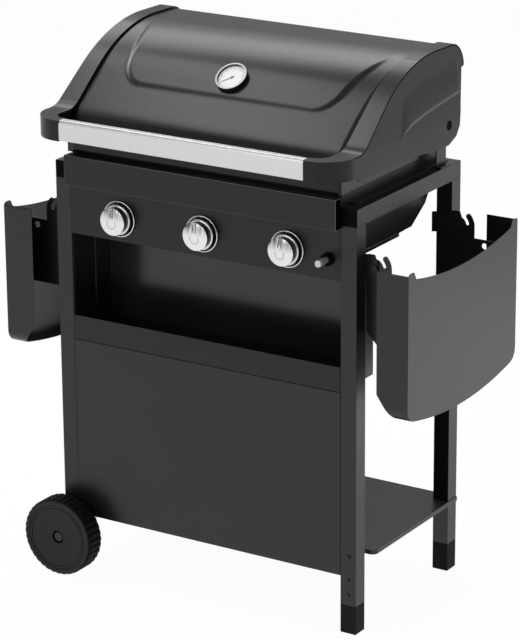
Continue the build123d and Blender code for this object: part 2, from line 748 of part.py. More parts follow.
grate_front = firebox_front + firebox_wall + play
grate_rear = rear_ledge - play
grate_x0 = play
grate_x1 = firebox_half - firebox_wall - play
slot_pitch = (grate_x1 - grate_x0 - grate_bar) / grate_slots
slot_length = grate_rear - grate_front - 4 * grate_bar
with BuildPart() as cooking_grates:
    for side in (-1, 1):
        with BuildSketch(level(grate_z)):
            with Locations((side * (grate_x0 + grate_x1) / 2, behind((grate_front + grate_rear) / 2))):
                Rectangle(grate_x1 - grate_x0, grate_rear - grate_front)
                with GridLocations(slot_pitch, 0, grate_slots, 1):
                    Rectangle(slot_pitch - grate_bar, slot_length, mode=Mode.SUBTRACT)
        extrude(amount=grate_height)
save(cooking_grates.part, "cooking_grates")

# Grease tray and its runners
tray_half = tray_width / 2
lip_bottom = firebox_floor - runner_drop + sheet + play
runner_x = tray_half + tray_lip + play
with BuildPart() as tray_runners:
    for side in (-1, 1):
        slab(side * runner_x, side * (runner_x + sheet), behind(tray_front), behind(tray_rear),
             firebox_floor - runner_drop, firebox_floor)
        slab(side * (tray_half + play * 4), side * (runner_x + sheet), behind(tray_front), behind(tray_rear),
             firebox_floor - runner_drop, firebox_floor - runner_drop + sheet)
save(tray_runners.part, "tray_runners")

with BuildPart() as grease_tray:
    slab(-tray_half, tray_half, behind(tray_front), behind(tray_rear), tray_bottom, lip_bottom + sheet)
    slab(-tray_half - tray_lip, tray_half + tray_lip, behind(tray_front), behind(tray_rear),
         lip_bottom, lip_bottom + sheet)
    slab(-tray_half + sheet, tray_half - sheet, behind(tray_front + sheet), behind(tray_rear - sheet),
         tray_bottom + sheet, lip_bottom + 2 * sheet, Mode.SUBTRACT)
save(grease_tray.part, "grease_tray")

# Lid. The rim of the end caps and the sheet between them share one line: front, slope, top, back.


def slope_z(depth, shift):
    """Height of the lid's slope at a depth, moved outwards by shift."""
    return nose_top + slope * (depth - slope_foot) + shift / slope_cos


def lid_line(start, shift, foot, brow, back, end):
    """Points and corner radii of the lid's line, moved outwards by shift."""
    top_fall = (lid_top - lid_top_rear) / (lid_rear - slope_foot)
    ridge = (lid_top + shift - slope_z(0, shift)) / slope
    corner_z = lid_top + shift - top_fall * (lid_rear - ridge)
    points = [start, (start[0], 0), (ridge, lid_top + shift), (lid_rear + shift, corner_z), end]
    points[1] = (start[0], slope_z(start[0], shift))
    return points, [foot, brow, back]


def lid_edge(points, radii):
    """Line through the points with rounded inner corners."""
    FilletPolyline(*yz(points), radius=radii)


sheet_points, sheet_radii = lid_line(
    (lid_front, lid_bottom), -rim_step, front_round, brow_round - rim_step, back_round - rim_step,
    (lid_rear - rim_step, lid_rear_bottom))
inner_shift = -rim_step - lid_sheet
hood_points, hood_radii = lid_line(
    (lid_front + lid_sheet, lid_bottom - tube), inner_shift, front_round - lid_sheet,
    brow_round - rim_step - lid_sheet, back_round - rim_step - lid_sheet,
    (lid_rear + inner_shift, lid_bottom - tube))
hood_corner = [(hinge_depth + wall_behind_hinge, hinge_z), (hinge_depth + wall_behind_low, lid_bottom)]


def raised_panel(shift, inset):
    """Raised panel of the lid, straight up the slope and then running out into the top."""
    rise = panel_height - rim_step + shift
    lower = panel_foot + inset
    with BuildSketch(Plane.YZ) as panel_side:
        with BuildLine():
            straight = Line((behind(lower), slope_z(lower, rise)),
                            (behind(panel_bend), slope_z(panel_bend, rise)))
            run_out = TangentArc(straight @ 1, (behind(panel_end), lid_top - rim_step - panel_height + shift),
                                 tangent=straight % 1)
            Polyline(run_out @ 1, (behind(panel_end), hinge_z), (behind(lower), hinge_z), straight @ 0)
        make_face()
    extrude(panel_side.sketch, amount=lid_half - tube / 4, both=True)
    top_half = panel_half + panel_flare * (panel_end - panel_foot)
    with BuildSketch(level(lid_bottom)) as panel_plan:
        foot_edge = closed_face([
            (-panel_half + inset, behind(lower)), (panel_half - inset, behind(lower)),
            (top_half - inset, behind(panel_end + 1)), (-top_half + inset, behind(panel_end + 1)),
        ])
        fillet(foot_edge.vertices().sort_by(Axis.Y)[:2], radius=panel_round - inset)
    extrude(panel_plan.sketch, amount=lid_top - lid_bottom + tube, mode=Mode.INTERSECT)


hinge_y = behind(hinge_depth)
thermo_z = slope_z(thermo_depth, panel_height - rim_step)
with BuildPart() as panel_outer:
    raised_panel(0, 0)
with BuildPart() as panel_inner:
    raised_panel(-lid_sheet, lid_sheet)

with BuildPart() as lid_shell:
    with BuildSketch(Plane.YZ):
        with BuildLine():
            lid_edge(sheet_points, sheet_radii)
            Polyline(*yz([sheet_points[-1]] + hood_corner + [sheet_points[0]]))
        make_face()
    extrude(amount=lid_half, both=True)
    add(panel_outer.part)
    with BuildSketch(Plane.YZ):
        with BuildLine():
            lid_edge(hood_points, hood_radii)
            Polyline(*yz([hood_points[-1], hood_points[0]]))
        make_face()
    extrude(amount=lid_half - lid_sheet, both=True, mode=Mode.SUBTRACT)
    add(panel_inner.part, mode=Mode.SUBTRACT)
    for side in (-1, 1):
        rod_x(hinge_y, hinge_z, side * (lid_half - 3 * lid_sheet), side * (lid_half + lid_sheet),
              hinge_pin_dia / 2 + run_clear, Mode.SUBTRACT)
    with Locations(Location((0, behind(thermo_depth), thermo_z), (slope_deg, 0, 0))):
        Cylinder(probe_dia / 2 + play / 2, 2 * panel_height, mode=Mode.SUBTRACT)
save(lid_shell.part, "lid_shell")

# End caps: side wall, rim band and solid nose
rim_points, rim_radii = lid_line(
    (-handle_reach, nose_bottom), 0, foot_round, brow_round, back_round, (lid_rear, rim_end))
rim_points = [(-handle_reach, nose_top), (slope_foot, nose_top)] + rim_points[2:]
band_points, band_radii = lid_line(
    (0, 0), -cap_wall, foot_round + cap_wall, brow_round - cap_wall, back_round - cap_wall,
    (lid_rear - cap_wall, rim_end - 3 * cap_wall))
hollow_z = nose_top - cap_wall
hollow_foot = slope_foot + cap_wall * (1 / slope_cos - 1) / slope
band_points = [(-nose_hollow, hollow_z), (hollow_foot, hollow_z)] + band_points[2:]
cap_back = [
    (lid_rear, rim_end), (lid_rear - 3 * cap_wall, rim_end - cap_wall),
    (lid_rear - cap_notch, hinge_z + tube), (lid_rear - cap_notch_foot, hinge_z - tube / 4),
    (hinge_depth + cap_heel, hinge_z - cap_heel_drop), (hinge_depth, hinge_z - cap_drop),
    (hinge_depth - tube, hinge_z - cap_drop), (hinge_depth - cap_tail, cap_bottom),
    (0, cap_bottom), (-nose_hollow / 2, nose_bottom), (-handle_reach, nose_bottom), (-handle_reach, nose_top),
]
with BuildPart() as right_end_cap:
    with BuildSketch(side_plane(handle_half)):
        with BuildLine():
            lid_edge(rim_points, rim_radii)
            Polyline(*yz(cap_back))
        make_face()
    extrude(amount=cap_x - handle_half + tube)
    with BuildSketch(level(lid_bottom)) as cap_plan:
        with BuildLine():
            Polyline(
                (handle_half, behind(-handle_reach)), (cap_x, behind(-handle_reach)),
                (cap_x, behind(lid_rear + 1)), (rim_inner_x, behind(lid_rear + 1)),
                (rim_inner_x, behind(-nose_back)), (handle_half, behind(-nose_back)), close=True)
        make_face()
        fillet(cap_plan.vertices().group_by(Axis.Y)[0].sort_by(Axis.X)[-1], radius=nose_round)
        fillet(cap_plan.vertices().group_by(Axis.Y)[1].sort_by(Axis.X)[-1], radius=nose_inner_round)
    extrude(amount=lid_top - lid_bottom + tube, mode=Mode.INTERSECT)
    split(bisect_by=Plane((cap_x, 0, nose_top), x_dir=(0, 1, 0),
                          z_dir=(cos(radians(cap_lean)), 0, sin(radians(cap_lean)))), keep=Keep.BOTTOM)
    with BuildPart(mode=Mode.PRIVATE) as hollow:
        with BuildSketch(side_plane(rim_inner_x - tube)):
            with BuildLine():
                lid_edge(band_points, band_radii)
                Polyline(*yz([band_points[-1], (lid_rear + tube, rim_end - 3 * cap_wall),
                              (lid_rear + tube, lid_bottom), (-nose_hollow, lid_bottom), band_points[0]]))
            make_face()
        extrude(amount=cap_x - cap_wall - rim_inner_x + tube)
        split(bisect_by=Plane((cap_x - cap_wall, 0, nose_top), x_dir=(0, 1, 0),
                              z_dir=(cos(radians(cap_lean)), 0, sin(radians(cap_lean)))), keep=Keep.BOTTOM)
    add(hollow.part, mode=Mode.SUBTRACT)
    rod_x(hinge_y, hinge_z, cap_x - 3 * cap_wall, cap_x - cap_wall / 2, hinge_boss_dia / 2)
    rod_x(hinge_y, hinge_z, cap_x - cap_wall, cap_x + tube, hinge_head_dia / 2 + play, Mode.SUBTRACT)
    rod_x(hinge_y, hinge_z, cap_x - tube, cap_x + tube, hinge_pin_dia / 2 + run_clear, Mode.SUBTRACT)
save(right_end_cap.part, "right_end_cap")

with BuildPart() as left_end_cap:
    add(mirror(right_end_cap.part, about=Plane.YZ, mode=Mode.PRIVATE))
save(left_end_cap.part, "left_end_cap")

# Handle bar: hollow, with a bevelled upper front edge
handle_front = -handle_reach
handle_top = handle_bottom + handle_height
handle_section = [
    (handle_front, handle_bottom), (handle_front, handle_top - handle_bevel),
    (handle_front + handle_bevel_depth, handle_top), (handle_front + handle_depth, handle_top),
    (handle_front + handle_depth, handle_bottom),
]
with BuildPart() as handle:
    with BuildSketch(Plane.YZ):
        closed_face(yz(handle_section))
    extrude(amount=handle_half, both=True)
    with BuildSketch(Plane.YZ):
        closed_face(yz(handle_section))
        offset(amount=-handle_wall, kind=Kind.INTERSECTION)
    extrude(amount=handle_half, both=True, mode=Mode.SUBTRACT)
save(handle.part, "handle")

# Hinge brackets on the rails, hinge pins through bracket and lid
pin_radius = hinge_pin_dia / 2
with BuildPart() as hinge_brackets:
    for side in (-1, 1):
        plate_x0 = side * hinge_plate_x
        plate_x1 = side * (hinge_plate_x + hinge_plate)
        plate_y0 = hinge_y - hinge_plate_width / 2
        plate_y1 = hinge_y + hinge_plate_width / 2
        slab(plate_x0, plate_x1, plate_y0, plate_y1, rail_top, hinge_z)
        rod_x(hinge_y, hinge_z, plate_x0, plate_x1, hinge_plate_width / 2)
        slab(plate_x0, side * (outer_x - 1), plate_y0, plate_y1, rail_top, rail_top + hinge_plate)
        rod_x(hinge_y, hinge_z, plate_x0 - side, plate_x1 + side, pin_radius + run_clear, Mode.SUBTRACT)
save(hinge_brackets.part, "hinge_brackets")

with BuildPart() as hinge_pins:
    for side in (-1, 1):
        rod_x(hinge_y, hinge_z, side * (lid_half - 2 * lid_sheet), side * cap_x, pin_radius)
        with BuildSketch(side_plane(side * (cap_x - cap_wall + play))):
            with Locations((hinge_y, hinge_z)):
                RegularPolygon(hinge_head_dia / 2, hex_sides)
        extrude(amount=side * (cap_wall - 2 * play))
save(hinge_pins.part, "hinge_pins")

# Thermometer on the raised panel, drawn on a plane square to the slope
thermo_plane = Plane((0, behind(thermo_depth), thermo_z), x_dir=(1, 0, 0), z_dir=(0, -slope_sin, slope_cos))
thermo_radius = thermo_dia / 2
case_floor = sheet
dial_top = case_floor + dial_thick
glass_bottom = thermo_height - glass_thick - sheet
bore = thermo_radius - thermo_rim
with BuildPart() as thermometer_case:
    with BuildSketch(thermo_plane):
        Circle(thermo_radius)
    extrude(amount=thermo_height)
    with BuildSketch(thermo_plane.offset(case_floor)):
        Circle(bore)
    extrude(amount=thermo_height, mode=Mode.SUBTRACT)
    with BuildSketch(thermo_plane):
        Circle(probe_dia / 2)
    extrude(amount=-probe_length)
save(thermometer_case.part, "thermometer_case")

with BuildPart() as thermometer_dial:
    with BuildSketch(thermo_plane.offset(case_floor)):
        Circle(bore - play / 2)
    extrude(amount=dial_thick)
save(thermometer_dial.part, "thermometer_dial")

needle_plane = thermo_plane.offset(dial_top + needle_thick)
with BuildPart() as thermometer_needle:
    with BuildSketch(needle_plane):
        with Locations(Location((0, 0), needle_deg)):
            with Locations(((needle_length - needle_tail) / 2, 0)):
                Rectangle(needle_length + needle_tail, needle_width)
        RegularPolygon(needle_hub, needle_hub_sides)
    extrude(amount=needle_thick)
save(thermometer_needle.part, "thermometer_needle")

with BuildPart() as thermometer_glass:
    with BuildSketch(thermo_plane.offset(glass_bottom)):
        Circle(bore - play / 2)
    extrude(amount=glass_thick)
save(thermometer_glass.part, "thermometer_glass")

# Side tables, drawn folded down. The local x of the outline is counted from the cart's middle.
table_half = table_depth / 2
table_rest_x = table_x - table_skirt
ear_in = table_half - table_ear
ear_foot = ear_in - ear_slant


def table_at(offset_y):
    """Y counted from the middle of the cart."""
    return mid_y + offset_y


def table_outline(inset, top):
    """Table seen from its side of the cart, with a scooped edge towards it if top is None."""
    side_in = table_half - inset
    with BuildLine() as edge_line:
        ThreePointArc((table_at(-side_in), table_corner_z + inset), (table_at(0), table_bow_z + inset),
                      (table_at(side_in), table_corner_z + inset))
        if top is None:
            Polyline((table_at(side_in), table_corner_z + inset), (table_at(side_in), table_ear_top),
                     (table_at(ear_in), table_ear_top), (table_at(ear_foot), table_scoop_side))
            ThreePointArc((table_at(ear_foot), table_scoop_side), (table_at(0), table_scoop_mid),
                          (table_at(-ear_foot), table_scoop_side))
            Polyline((table_at(-ear_foot), table_scoop_side), (table_at(-ear_in), table_ear_top),
                     (table_at(-side_in), table_ear_top), (table_at(-side_in), table_corner_z + inset))
        else:
            Polyline((table_at(side_in), table_corner_z + inset), (table_at(side_in), top),
                     (table_at(-side_in), top), (table_at(-side_in), table_corner_z + inset))
    return make_face(edge_line.edges())


bow_free_x = table_x - table_bow_skirt
skirt_cut = [
    (table_rest_x - 1, table_corner_z + skirt_cut_top),
    (bow_free_x - skirt_knee, table_corner_z + skirt_bend),
    (bow_free_x, table_corner_z - skirt_bend),
    (bow_free_x, table_bow_z - 1), (table_rest_x - 1, table_bow_z - 1),
]
with BuildPart() as right_table:
    with BuildSketch(side_plane(table_rest_x)) as table_side:
        table_outline(0, None)
        fillet(table_side.vertices().group_by(Axis.Y)[0], radius=table_corner)
        fillet(table_side.vertices().group_by(Axis.Y)[-1], radius=table_ear_round)
    extrude(amount=table_skirt)
    with BuildSketch(side_plane(table_rest_x - 1)) as table_inside:
        table_outline(sheet, table_ear_top + tube)
        fillet(table_inside.vertices().group_by(Axis.Y)[0], radius=table_corner - sheet)
    extrude(amount=table_skirt + 1 - sheet, mode=Mode.SUBTRACT)
    with BuildSketch(front_plane(table_at(-table_half - 1))):
        closed_face(skirt_cut)
    extrude(amount=-(table_depth + 2), mode=Mode.SUBTRACT)
save(right_table.part, "right_table")

with BuildPart() as left_table:
    add(mirror(right_table.part, about=Plane.YZ, mode=Mode.PRIVATE))
save(left_table.part, "left_table")

# Table arms: plates inside the tables with an open hook slot round the pivot
arm_from = half_depth - tube - bracket - arm_gap
slot_in = latch_radius - slot_width / 2
slot_out = latch_radius + slot_width / 2
pocket_deg = latch_deg - 90.0
hook_deg = pocket_deg + hook_span
hook_tip = (hook_radius - slot_out) / 2
shoulder = latch_radius - slot_width / 2 - play
face_reach = table_x - sheet - pivot_x
arm_drop = arm_bottom - pivot_z


def around(radius, degrees):
    """Point round the pivot of the right table."""
    return (pivot_x + radius * cos(radians(degrees)), pivot_z + radius * sin(radians(degrees)))


def from_pivot(points):
    """Points counted from the pivot."""
    return [(pivot_x + x, pivot_z + z) for x, z in points]


def ring_part(outer, inner, start, end, mode=Mode.ADD):
    """Part of a ring round the pivot, between two angles."""
    middle = (start + end) / 2
    with BuildLine() as ring_line:
        ThreePointArc(around(outer, start), around(outer, middle), around(outer, end))
        Line(around(outer, end), around(inner, end))
        ThreePointArc(around(inner, end), around(inner, middle), around(inner, start))
        Line(around(inner, start), around(outer, start))
    make_face(ring_line.edges(), mode=mode)


arm_body = [
    (-shoulder, 0), (-shoulder, arm_drop * arm_heel), (shoulder / 2, arm_drop), (face_reach, arm_drop),
    (face_reach, -arm_neck), (hook_radius, -arm_neck), (hook_radius, 0),
]
with BuildPart() as right_table_arms:
    for inner_y, toward in ((table_at(-arm_from), -1), (table_at(arm_from), 1)):
        with BuildSketch(front_plane(inner_y)):
            closed_face(from_pivot(arm_body))
            ring_part(hook_radius, slot_out, hook_root_deg, hook_deg)
            with Locations(around(slot_out + hook_tip, hook_deg)):
                Circle(hook_tip)
            with Locations((pivot_x + slot_out / 2, pivot_z)):
                Rectangle(slot_out + 2, 2 * latch_radius * sin(radians(pocket_deg)))
            with Locations((pivot_x, pivot_z)):
                Circle(shoulder)
            ring_part(slot_out, slot_in, pocket_deg, slot_end_deg, Mode.SUBTRACT)
            with Locations(around(latch_radius, pocket_deg)):
                Circle(slot_width / 2, mode=Mode.SUBTRACT)
            with Locations((pivot_x, pivot_z)):
                Circle(pivot_dia / 2 + run_clear, mode=Mode.SUBTRACT)
            with Locations((pivot_x + face_reach * arm_hole_share, pivot_z - arm_neck - arm_hole_dia)):
                Circle(arm_hole_dia / 2, mode=Mode.SUBTRACT)
        extrude(amount=arm * toward)
save(right_table_arms.part, "right_table_arms")

with BuildPart() as left_table_arms:
    add(mirror(right_table_arms.part, about=Plane.YZ, mode=Mode.PRIVATE))
save(left_table_arms.part, "left_table_arms")

# Brackets on the legs' inner faces, pivot bolts and latch pins
latch_x, latch_z = around(latch_radius, latch_deg)
leg_face = half_depth - tube
bracket_body = [
    (bracket_inner_x, pivot_z - slot_out), (pivot_x, pivot_z - pivot_head),
    (pivot_x + pivot_dia, pivot_z - pivot_dia), (pivot_x + pivot_dia, pivot_z + pivot_dia),
    (latch_x + latch_dia, latch_z + latch_dia),
    (latch_x - latch_dia, latch_z + latch_dia), (bracket_inner_x, pivot_z + shoulder),
]
with BuildPart() as table_brackets:
    for side in (-1, 1):
        for row in (-1, 1):
            with BuildSketch(front_plane(table_at(row * leg_face))):
                closed_face([(side * x, z) for x, z in bracket_body])
                with Locations((side * pivot_x, pivot_z)):
                    Circle(pivot_dia / 2 + run_clear, mode=Mode.SUBTRACT)
            extrude(amount=row * bracket)
save(table_brackets.part, "table_brackets")

arm_end = arm_from - arm
with BuildPart() as pivot_bolts:
    for side in (-1, 1):
        for row in (-1, 1):
            x = side * pivot_x
            bolt_head = table_at(row * (leg_face + bracket))
            bolt_tip = table_at(row * (arm_end - arm))
            rod_y(x, pivot_z, bolt_head, bolt_tip, pivot_dia / 2)
            for hex_y, hex_run in ((row * leg_face, bracket), (row * (arm_end - arm_gap), arm_gap - arm)):
                with BuildSketch(front_plane(table_at(hex_y))):
                    with Locations((x, pivot_z)):
                        RegularPolygon(pivot_head / 2, hex_sides)
                extrude(amount=-row * hex_run)
save(pivot_bolts.part, "pivot_bolts")

with BuildPart() as latch_pins:
    for side in (-1, 1):
        for row in (-1, 1):
            latch_start = table_at(row * (leg_face - bracket))
            latch_tip = table_at(row * (arm_end - arm))
            rod_y(side * latch_x, latch_z, latch_start, latch_tip, latch_dia / 2)
save(latch_pins.part, "latch_pins")

# Screw heads on the front legs
with BuildPart() as frame_screws:
    for side in (-1, 1):
        for z in screw_heights:
            rod_y(side * leg_x, z, front_y - screw_head, front_y, screw_dia / 2)
    rod_y(leg_x, foot_screw_z, front_y - screw_head, front_y, screw_dia / 2)
save(frame_screws.part, "frame_screws")
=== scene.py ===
import json
import math

import bmesh
import bpy
from mathutils import Matrix, Vector


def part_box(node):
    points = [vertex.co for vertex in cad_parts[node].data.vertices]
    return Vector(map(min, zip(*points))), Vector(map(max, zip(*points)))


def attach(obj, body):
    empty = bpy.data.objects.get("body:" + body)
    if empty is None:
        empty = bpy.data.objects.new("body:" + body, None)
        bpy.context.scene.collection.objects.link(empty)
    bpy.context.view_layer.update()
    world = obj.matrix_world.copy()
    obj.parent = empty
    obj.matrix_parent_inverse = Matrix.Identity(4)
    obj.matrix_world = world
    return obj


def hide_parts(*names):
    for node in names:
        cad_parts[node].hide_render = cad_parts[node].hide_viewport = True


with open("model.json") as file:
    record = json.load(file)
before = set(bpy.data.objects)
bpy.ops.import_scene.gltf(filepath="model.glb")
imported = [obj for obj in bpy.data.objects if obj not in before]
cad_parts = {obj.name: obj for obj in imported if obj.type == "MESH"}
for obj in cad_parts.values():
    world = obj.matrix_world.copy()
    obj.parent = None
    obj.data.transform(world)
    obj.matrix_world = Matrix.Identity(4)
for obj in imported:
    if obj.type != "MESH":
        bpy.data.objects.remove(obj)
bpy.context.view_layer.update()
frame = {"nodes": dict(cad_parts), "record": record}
nodes = frame["nodes"]
scene = bpy.context.scene
scene.view_settings.view_transform = "Standard"


# Material helpers

noise_low = 0.3
noise_high = 0.7
blotch_low = 0.32
blotch_high = 0.68
blotch_scale = 9.0
smear_scale = 60.0


def new_material(name):
    """Empty node material with a surface shader and its output."""
    material = bpy.data.materials.new(name)
    material.use_nodes = True
    tree = material.node_tree
    tree.nodes.clear()
    output = tree.nodes.new("ShaderNodeOutputMaterial")
    shader = tree.nodes.new("ShaderNodeBsdfPrincipled")
    tree.links.new(shader.outputs["BSDF"], output.inputs["Surface"])
    return material, tree, shader


def place(tree, stretch):
    """Object coordinates, stretched per axis."""
    coords = tree.nodes.new("ShaderNodeTexCoord")
    mapping = tree.nodes.new("ShaderNodeMapping")
    mapping.inputs["Scale"].default_value = stretch
    tree.links.new(coords.outputs["Object"], mapping.inputs["Vector"])
    return mapping.outputs["Vector"]


def noise(tree, vector, scale, detail=3.0, rough=0.55):
    """Noise value at a scale per metre."""
    node = tree.nodes.new("ShaderNodeTexNoise")
    node.inputs["Scale"].default_value = scale
    node.inputs["Detail"].default_value = detail
    node.inputs["Roughness"].default_value = rough
    tree.links.new(vector, node.inputs["Vector"])
    return node.outputs["Fac"]


def ramp(tree, value, low, high, colours):
    """Colours along a value."""
    node = tree.nodes.new("ShaderNodeValToRGB")
    node.color_ramp.elements[0].position = low
    node.color_ramp.elements[1].position = high
    node.color_ramp.elements[0].color = (*colours[0], 1)
    node.color_ramp.elements[1].color = (*colours[1], 1)
    tree.links.new(value, node.inputs["Fac"])
    return node.outputs["Color"]


def span(tree, value, low, high):
    """Middle stretch of a noise mapped to a range."""
    node = tree.nodes.new("ShaderNodeMapRange")
    node.inputs["From Min"].default_value = noise_low
    node.inputs["From Max"].default_value = noise_high
    node.inputs["To Min"].default_value = low
    node.inputs["To Max"].default_value = high
    tree.links.new(value, node.inputs["Value"])
    return node.outputs["Result"]


def finish(name, colour, tint=None, vary=0.14, rough=0.4, rough_span=0.06, metallic=0.0, specular=0.5,
           grain=900.0, bump=0.08, depth=0.0003, stretch=(1, 1, 1)):
    """Surface with slow colour changes, uneven gloss and a fine grain."""
    material, tree, shader = new_material(name)
    vector = place(tree, stretch)
    slow = noise(tree, vector, blotch_scale, detail=4.0)
    fine = noise(tree, vector, grain, detail=2.0, rough=0.6)
    darker = tuple(part * (1 - vary) for part in colour)
    lighter = tuple(part * (1 + vary) for part in tint or colour)
    relief = tree.nodes.new("ShaderNodeBump")
    relief.inputs["Strength"].default_value = bump
    relief.inputs["Distance"].default_value = depth
    blotches = ramp(tree, slow, blotch_low, blotch_high, (darker, lighter))
    gloss = span(tree, fine, rough - rough_span, rough + rough_span)
    tree.links.new(fine, relief.inputs["Height"])
    tree.links.new(blotches, shader.inputs["Base Color"])
    tree.links.new(gloss, shader.inputs["Roughness"])
    tree.links.new(relief.outputs["Normal"], shader.inputs["Normal"])
    shader.inputs["Metallic"].default_value = metallic
    shader.inputs["Specular IOR Level"].default_value = specular
    return material


def glass(name):
    """Clear cover glass."""
    material, tree, shader = new_material(name)
    smear = noise(tree, place(tree, (1, 1, 1)), smear_scale)
    tree.links.new(span(tree, smear, 0.01, 0.05), shader.inputs["Roughness"])
    shader.inputs["Base Color"].default_value = (0.97, 0.98, 0.98, 1)
    shader.inputs["Transmission Weight"].default_value = 1.0
    shader.inputs["IOR"].default_value = 1.1
    return material


def painted_reflection_streaks(material, dark, start, end, scale):
    """Painted dark reflections as upright streaks in a material, which grow between two heights in metres.
    """
    tree = material.node_tree
    shader = next(node for node in tree.nodes if node.type == "BSDF_PRINCIPLED")
    colour = shader.inputs["Base Color"]
    plain = colour.links[0].from_socket
    coords = tree.nodes.new("ShaderNodeTexCoord")
    split = tree.nodes.new("ShaderNodeSeparateXYZ")
    tree.links.new(coords.outputs["Object"], split.inputs["Vector"])
    rise = tree.nodes.new("ShaderNodeMapRange")
    rise.inputs["From Min"].default_value = start
    rise.inputs["From Max"].default_value = end
    tree.links.new(split.outputs["Z"], rise.inputs["Value"])
    upright = place(tree, (1, 0.05, 0.08))
    bars = span(tree, noise(tree, upright, scale, detail=2.0), 0.0, 1.0)
    share = tree.nodes.new("ShaderNodeMath")
    share.operation = "MULTIPLY"
    tree.links.new(rise.outputs["Result"], share.inputs[0])
    tree.links.new(bars, share.inputs[1])
    mix = tree.nodes.new("ShaderNodeMix")
    mix.data_type = "RGBA"
    tree.links.new(share.outputs[0], mix.inputs["Factor"])
    tree.links.new(plain, mix.inputs["A"])
    mix.inputs["B"].default_value = (*dark, 1)
    tree.links.new(mix.outputs["Result"], colour)


finishes = {}


def add_finish(name, colour, **look):
    """Makes a finish and keeps it under its name."""
    finishes[name] = finish(name, colour, **look)


# Paint and enamel

sheet_grain = {"grain": 1500.0, "bump": 0.05}
add_finish("dark_paint", (0.006, 0.006, 0.0063), rough=0.34, specular=0.48, **sheet_grain)
add_finish("control_paint", (0.005, 0.005, 0.0053), rough=0.36, specular=0.38, **sheet_grain)
add_finish("shelf_paint", (0.024, 0.024, 0.0245), rough=0.34, specular=0.48, **sheet_grain)
add_finish("recess_paint", (0.012, 0.012, 0.0125), rough=0.2, specular=0.55, **sheet_grain)
# Painted highlight: pale finish on the fascia's bevelled edges
add_finish("painted_edge_highlight", (0.13, 0.13, 0.133), rough=0.4, specular=0.5, **sheet_grain)
add_finish("lid_paint", (0.009, 0.009, 0.0094), rough=0.27, specular=0.45, grain=1300.0, bump=0.04)
add_finish("firebox_enamel", (0.014, 0.014, 0.0145), rough=0.32, specular=0.45, grain=800.0, bump=0.06)
add_finish("dial_white", (0.85, 0.85, 0.83), vary=0.03, rough=0.45, grain=1500.0, bump=0.03)
add_finish("white_mark", (0.82, 0.82, 0.80), vary=0.03, rough=0.4, grain=1500.0)
add_finish("needle_paint", (0.10, 0.10, 0.10), vary=0.12, rough=0.4, grain=1500.0)
add_finish("dial_ink", (0.16, 0.16, 0.16), vary=0.1, rough=0.5, grain=1500.0)


# Plastics

add_finish("frame_plastic", (0.015, 0.015, 0.0155), rough=0.6, specular=0.08, grain=2200.0, bump=0.10)
add_finish("wheel_plastic", (0.012, 0.012, 0.0124), rough=0.46, specular=0.26, grain=1800.0, bump=0.10)
add_finish("tread_plastic", (0.007, 0.007, 0.0072), rough=0.6, specular=0.06, grain=1800.0, bump=0.10)
add_finish("bezel_plastic", (0.008, 0.008, 0.0085), rough=0.26, specular=0.5, grain=1500.0, bump=0.03)
# Black plastic also serves as painted shade on panel bevels, the caps' seam strips and the pin recesses
add_finish("black_plastic", (0.002, 0.002, 0.002), rough=0.6, specular=0.05, grain=1200.0)
# The cap finish also gives the hood's lower front strip its painted shade
add_finish("cap_side", (0.006, 0.006, 0.0063), rough=0.33, specular=0.31, grain=1200.0, bump=0.03)

# Painted sheen on the end caps' rims: lighter copies of the cap finish, glossier the steeper the face. Each
# step: the upward part of the normal that it stays under, and its specular level
rim_sheen_steps = [(0.88, 0.62), (0.92, 0.54), (0.95, 0.46), (0.98, 0.38)]
for i, (facing_up, specular) in enumerate(rim_sheen_steps):
    add_finish(f"cap_rim_sheen_{i}", (0.009, 0.009, 0.0093), rough=0.25, specular=specular, grain=1200.0,
               bump=0.03)


# Metals

metal = {"metallic": 1.0}
bright = {"metallic": 1.0, "grain": 1500.0, "bump": 0.02}
add_finish("plated_steel", (0.50, 0.50, 0.48), tint=(0.56, 0.55, 0.50), rough=0.32, grain=1400.0, bump=0.06,
           **metal)
add_finish("axle_metal", (0.05, 0.05, 0.05), rough=0.3, grain=1400.0, bump=0.06, **metal)
add_finish("burner_steel", (0.46, 0.45, 0.43), tint=(0.50, 0.45, 0.38), vary=0.2, rough=0.34, grain=700.0,
           stretch=(1, 0.05, 1), **metal)
add_finish("brass", (0.64, 0.47, 0.20), rough=0.30, **metal)
add_finish("handle_aluminium", (0.68, 0.68, 0.68), vary=0.05, rough=0.33, rough_span=0.08, grain=1600.0,
           bump=0.06, stretch=(0.02, 1, 1), **metal)
add_finish("grate_iron", (0.020, 0.0195, 0.019), vary=0.25, rough=0.55, grain=1300.0, bump=0.25,
           depth=0.0006)
add_finish("pin_metal", (0.34, 0.34, 0.345), vary=0.05, rough=0.3, metallic=0.35, grain=1500.0, bump=0.02)
add_finish("chrome", (0.74, 0.74, 0.75), vary=0.03, rough=0.14, rough_span=0.04, **bright)
add_finish("ring_chrome", (0.66, 0.66, 0.67), vary=0.05, rough=0.2, **bright)
# Painted dark reflection for the flanks of the knobs' notches
add_finish("painted_reflection_chrome", (0.20, 0.20, 0.205), vary=0.1, rough=0.25, **bright)
# Painted shade, with softer metal, for the ring dents of the knobs' faces
add_finish("painted_shade_chrome", (0.44, 0.44, 0.445), vary=0.1, rough=0.3, **bright)
add_finish("face_chrome", (0.80, 0.80, 0.81), vary=0.05, rough=0.24, rough_span=0.07, grain=2600.0,
           bump=0.05, stretch=(1, 1, 0.03), **metal)


# Ceramic and glass

add_finish("ceramic", (0.74, 0.71, 0.64), vary=0.05, rough=0.35)
finishes["clear_glass"] = glass("clear_glass")


# CAD nodes: finish, softened edges and smooth curves

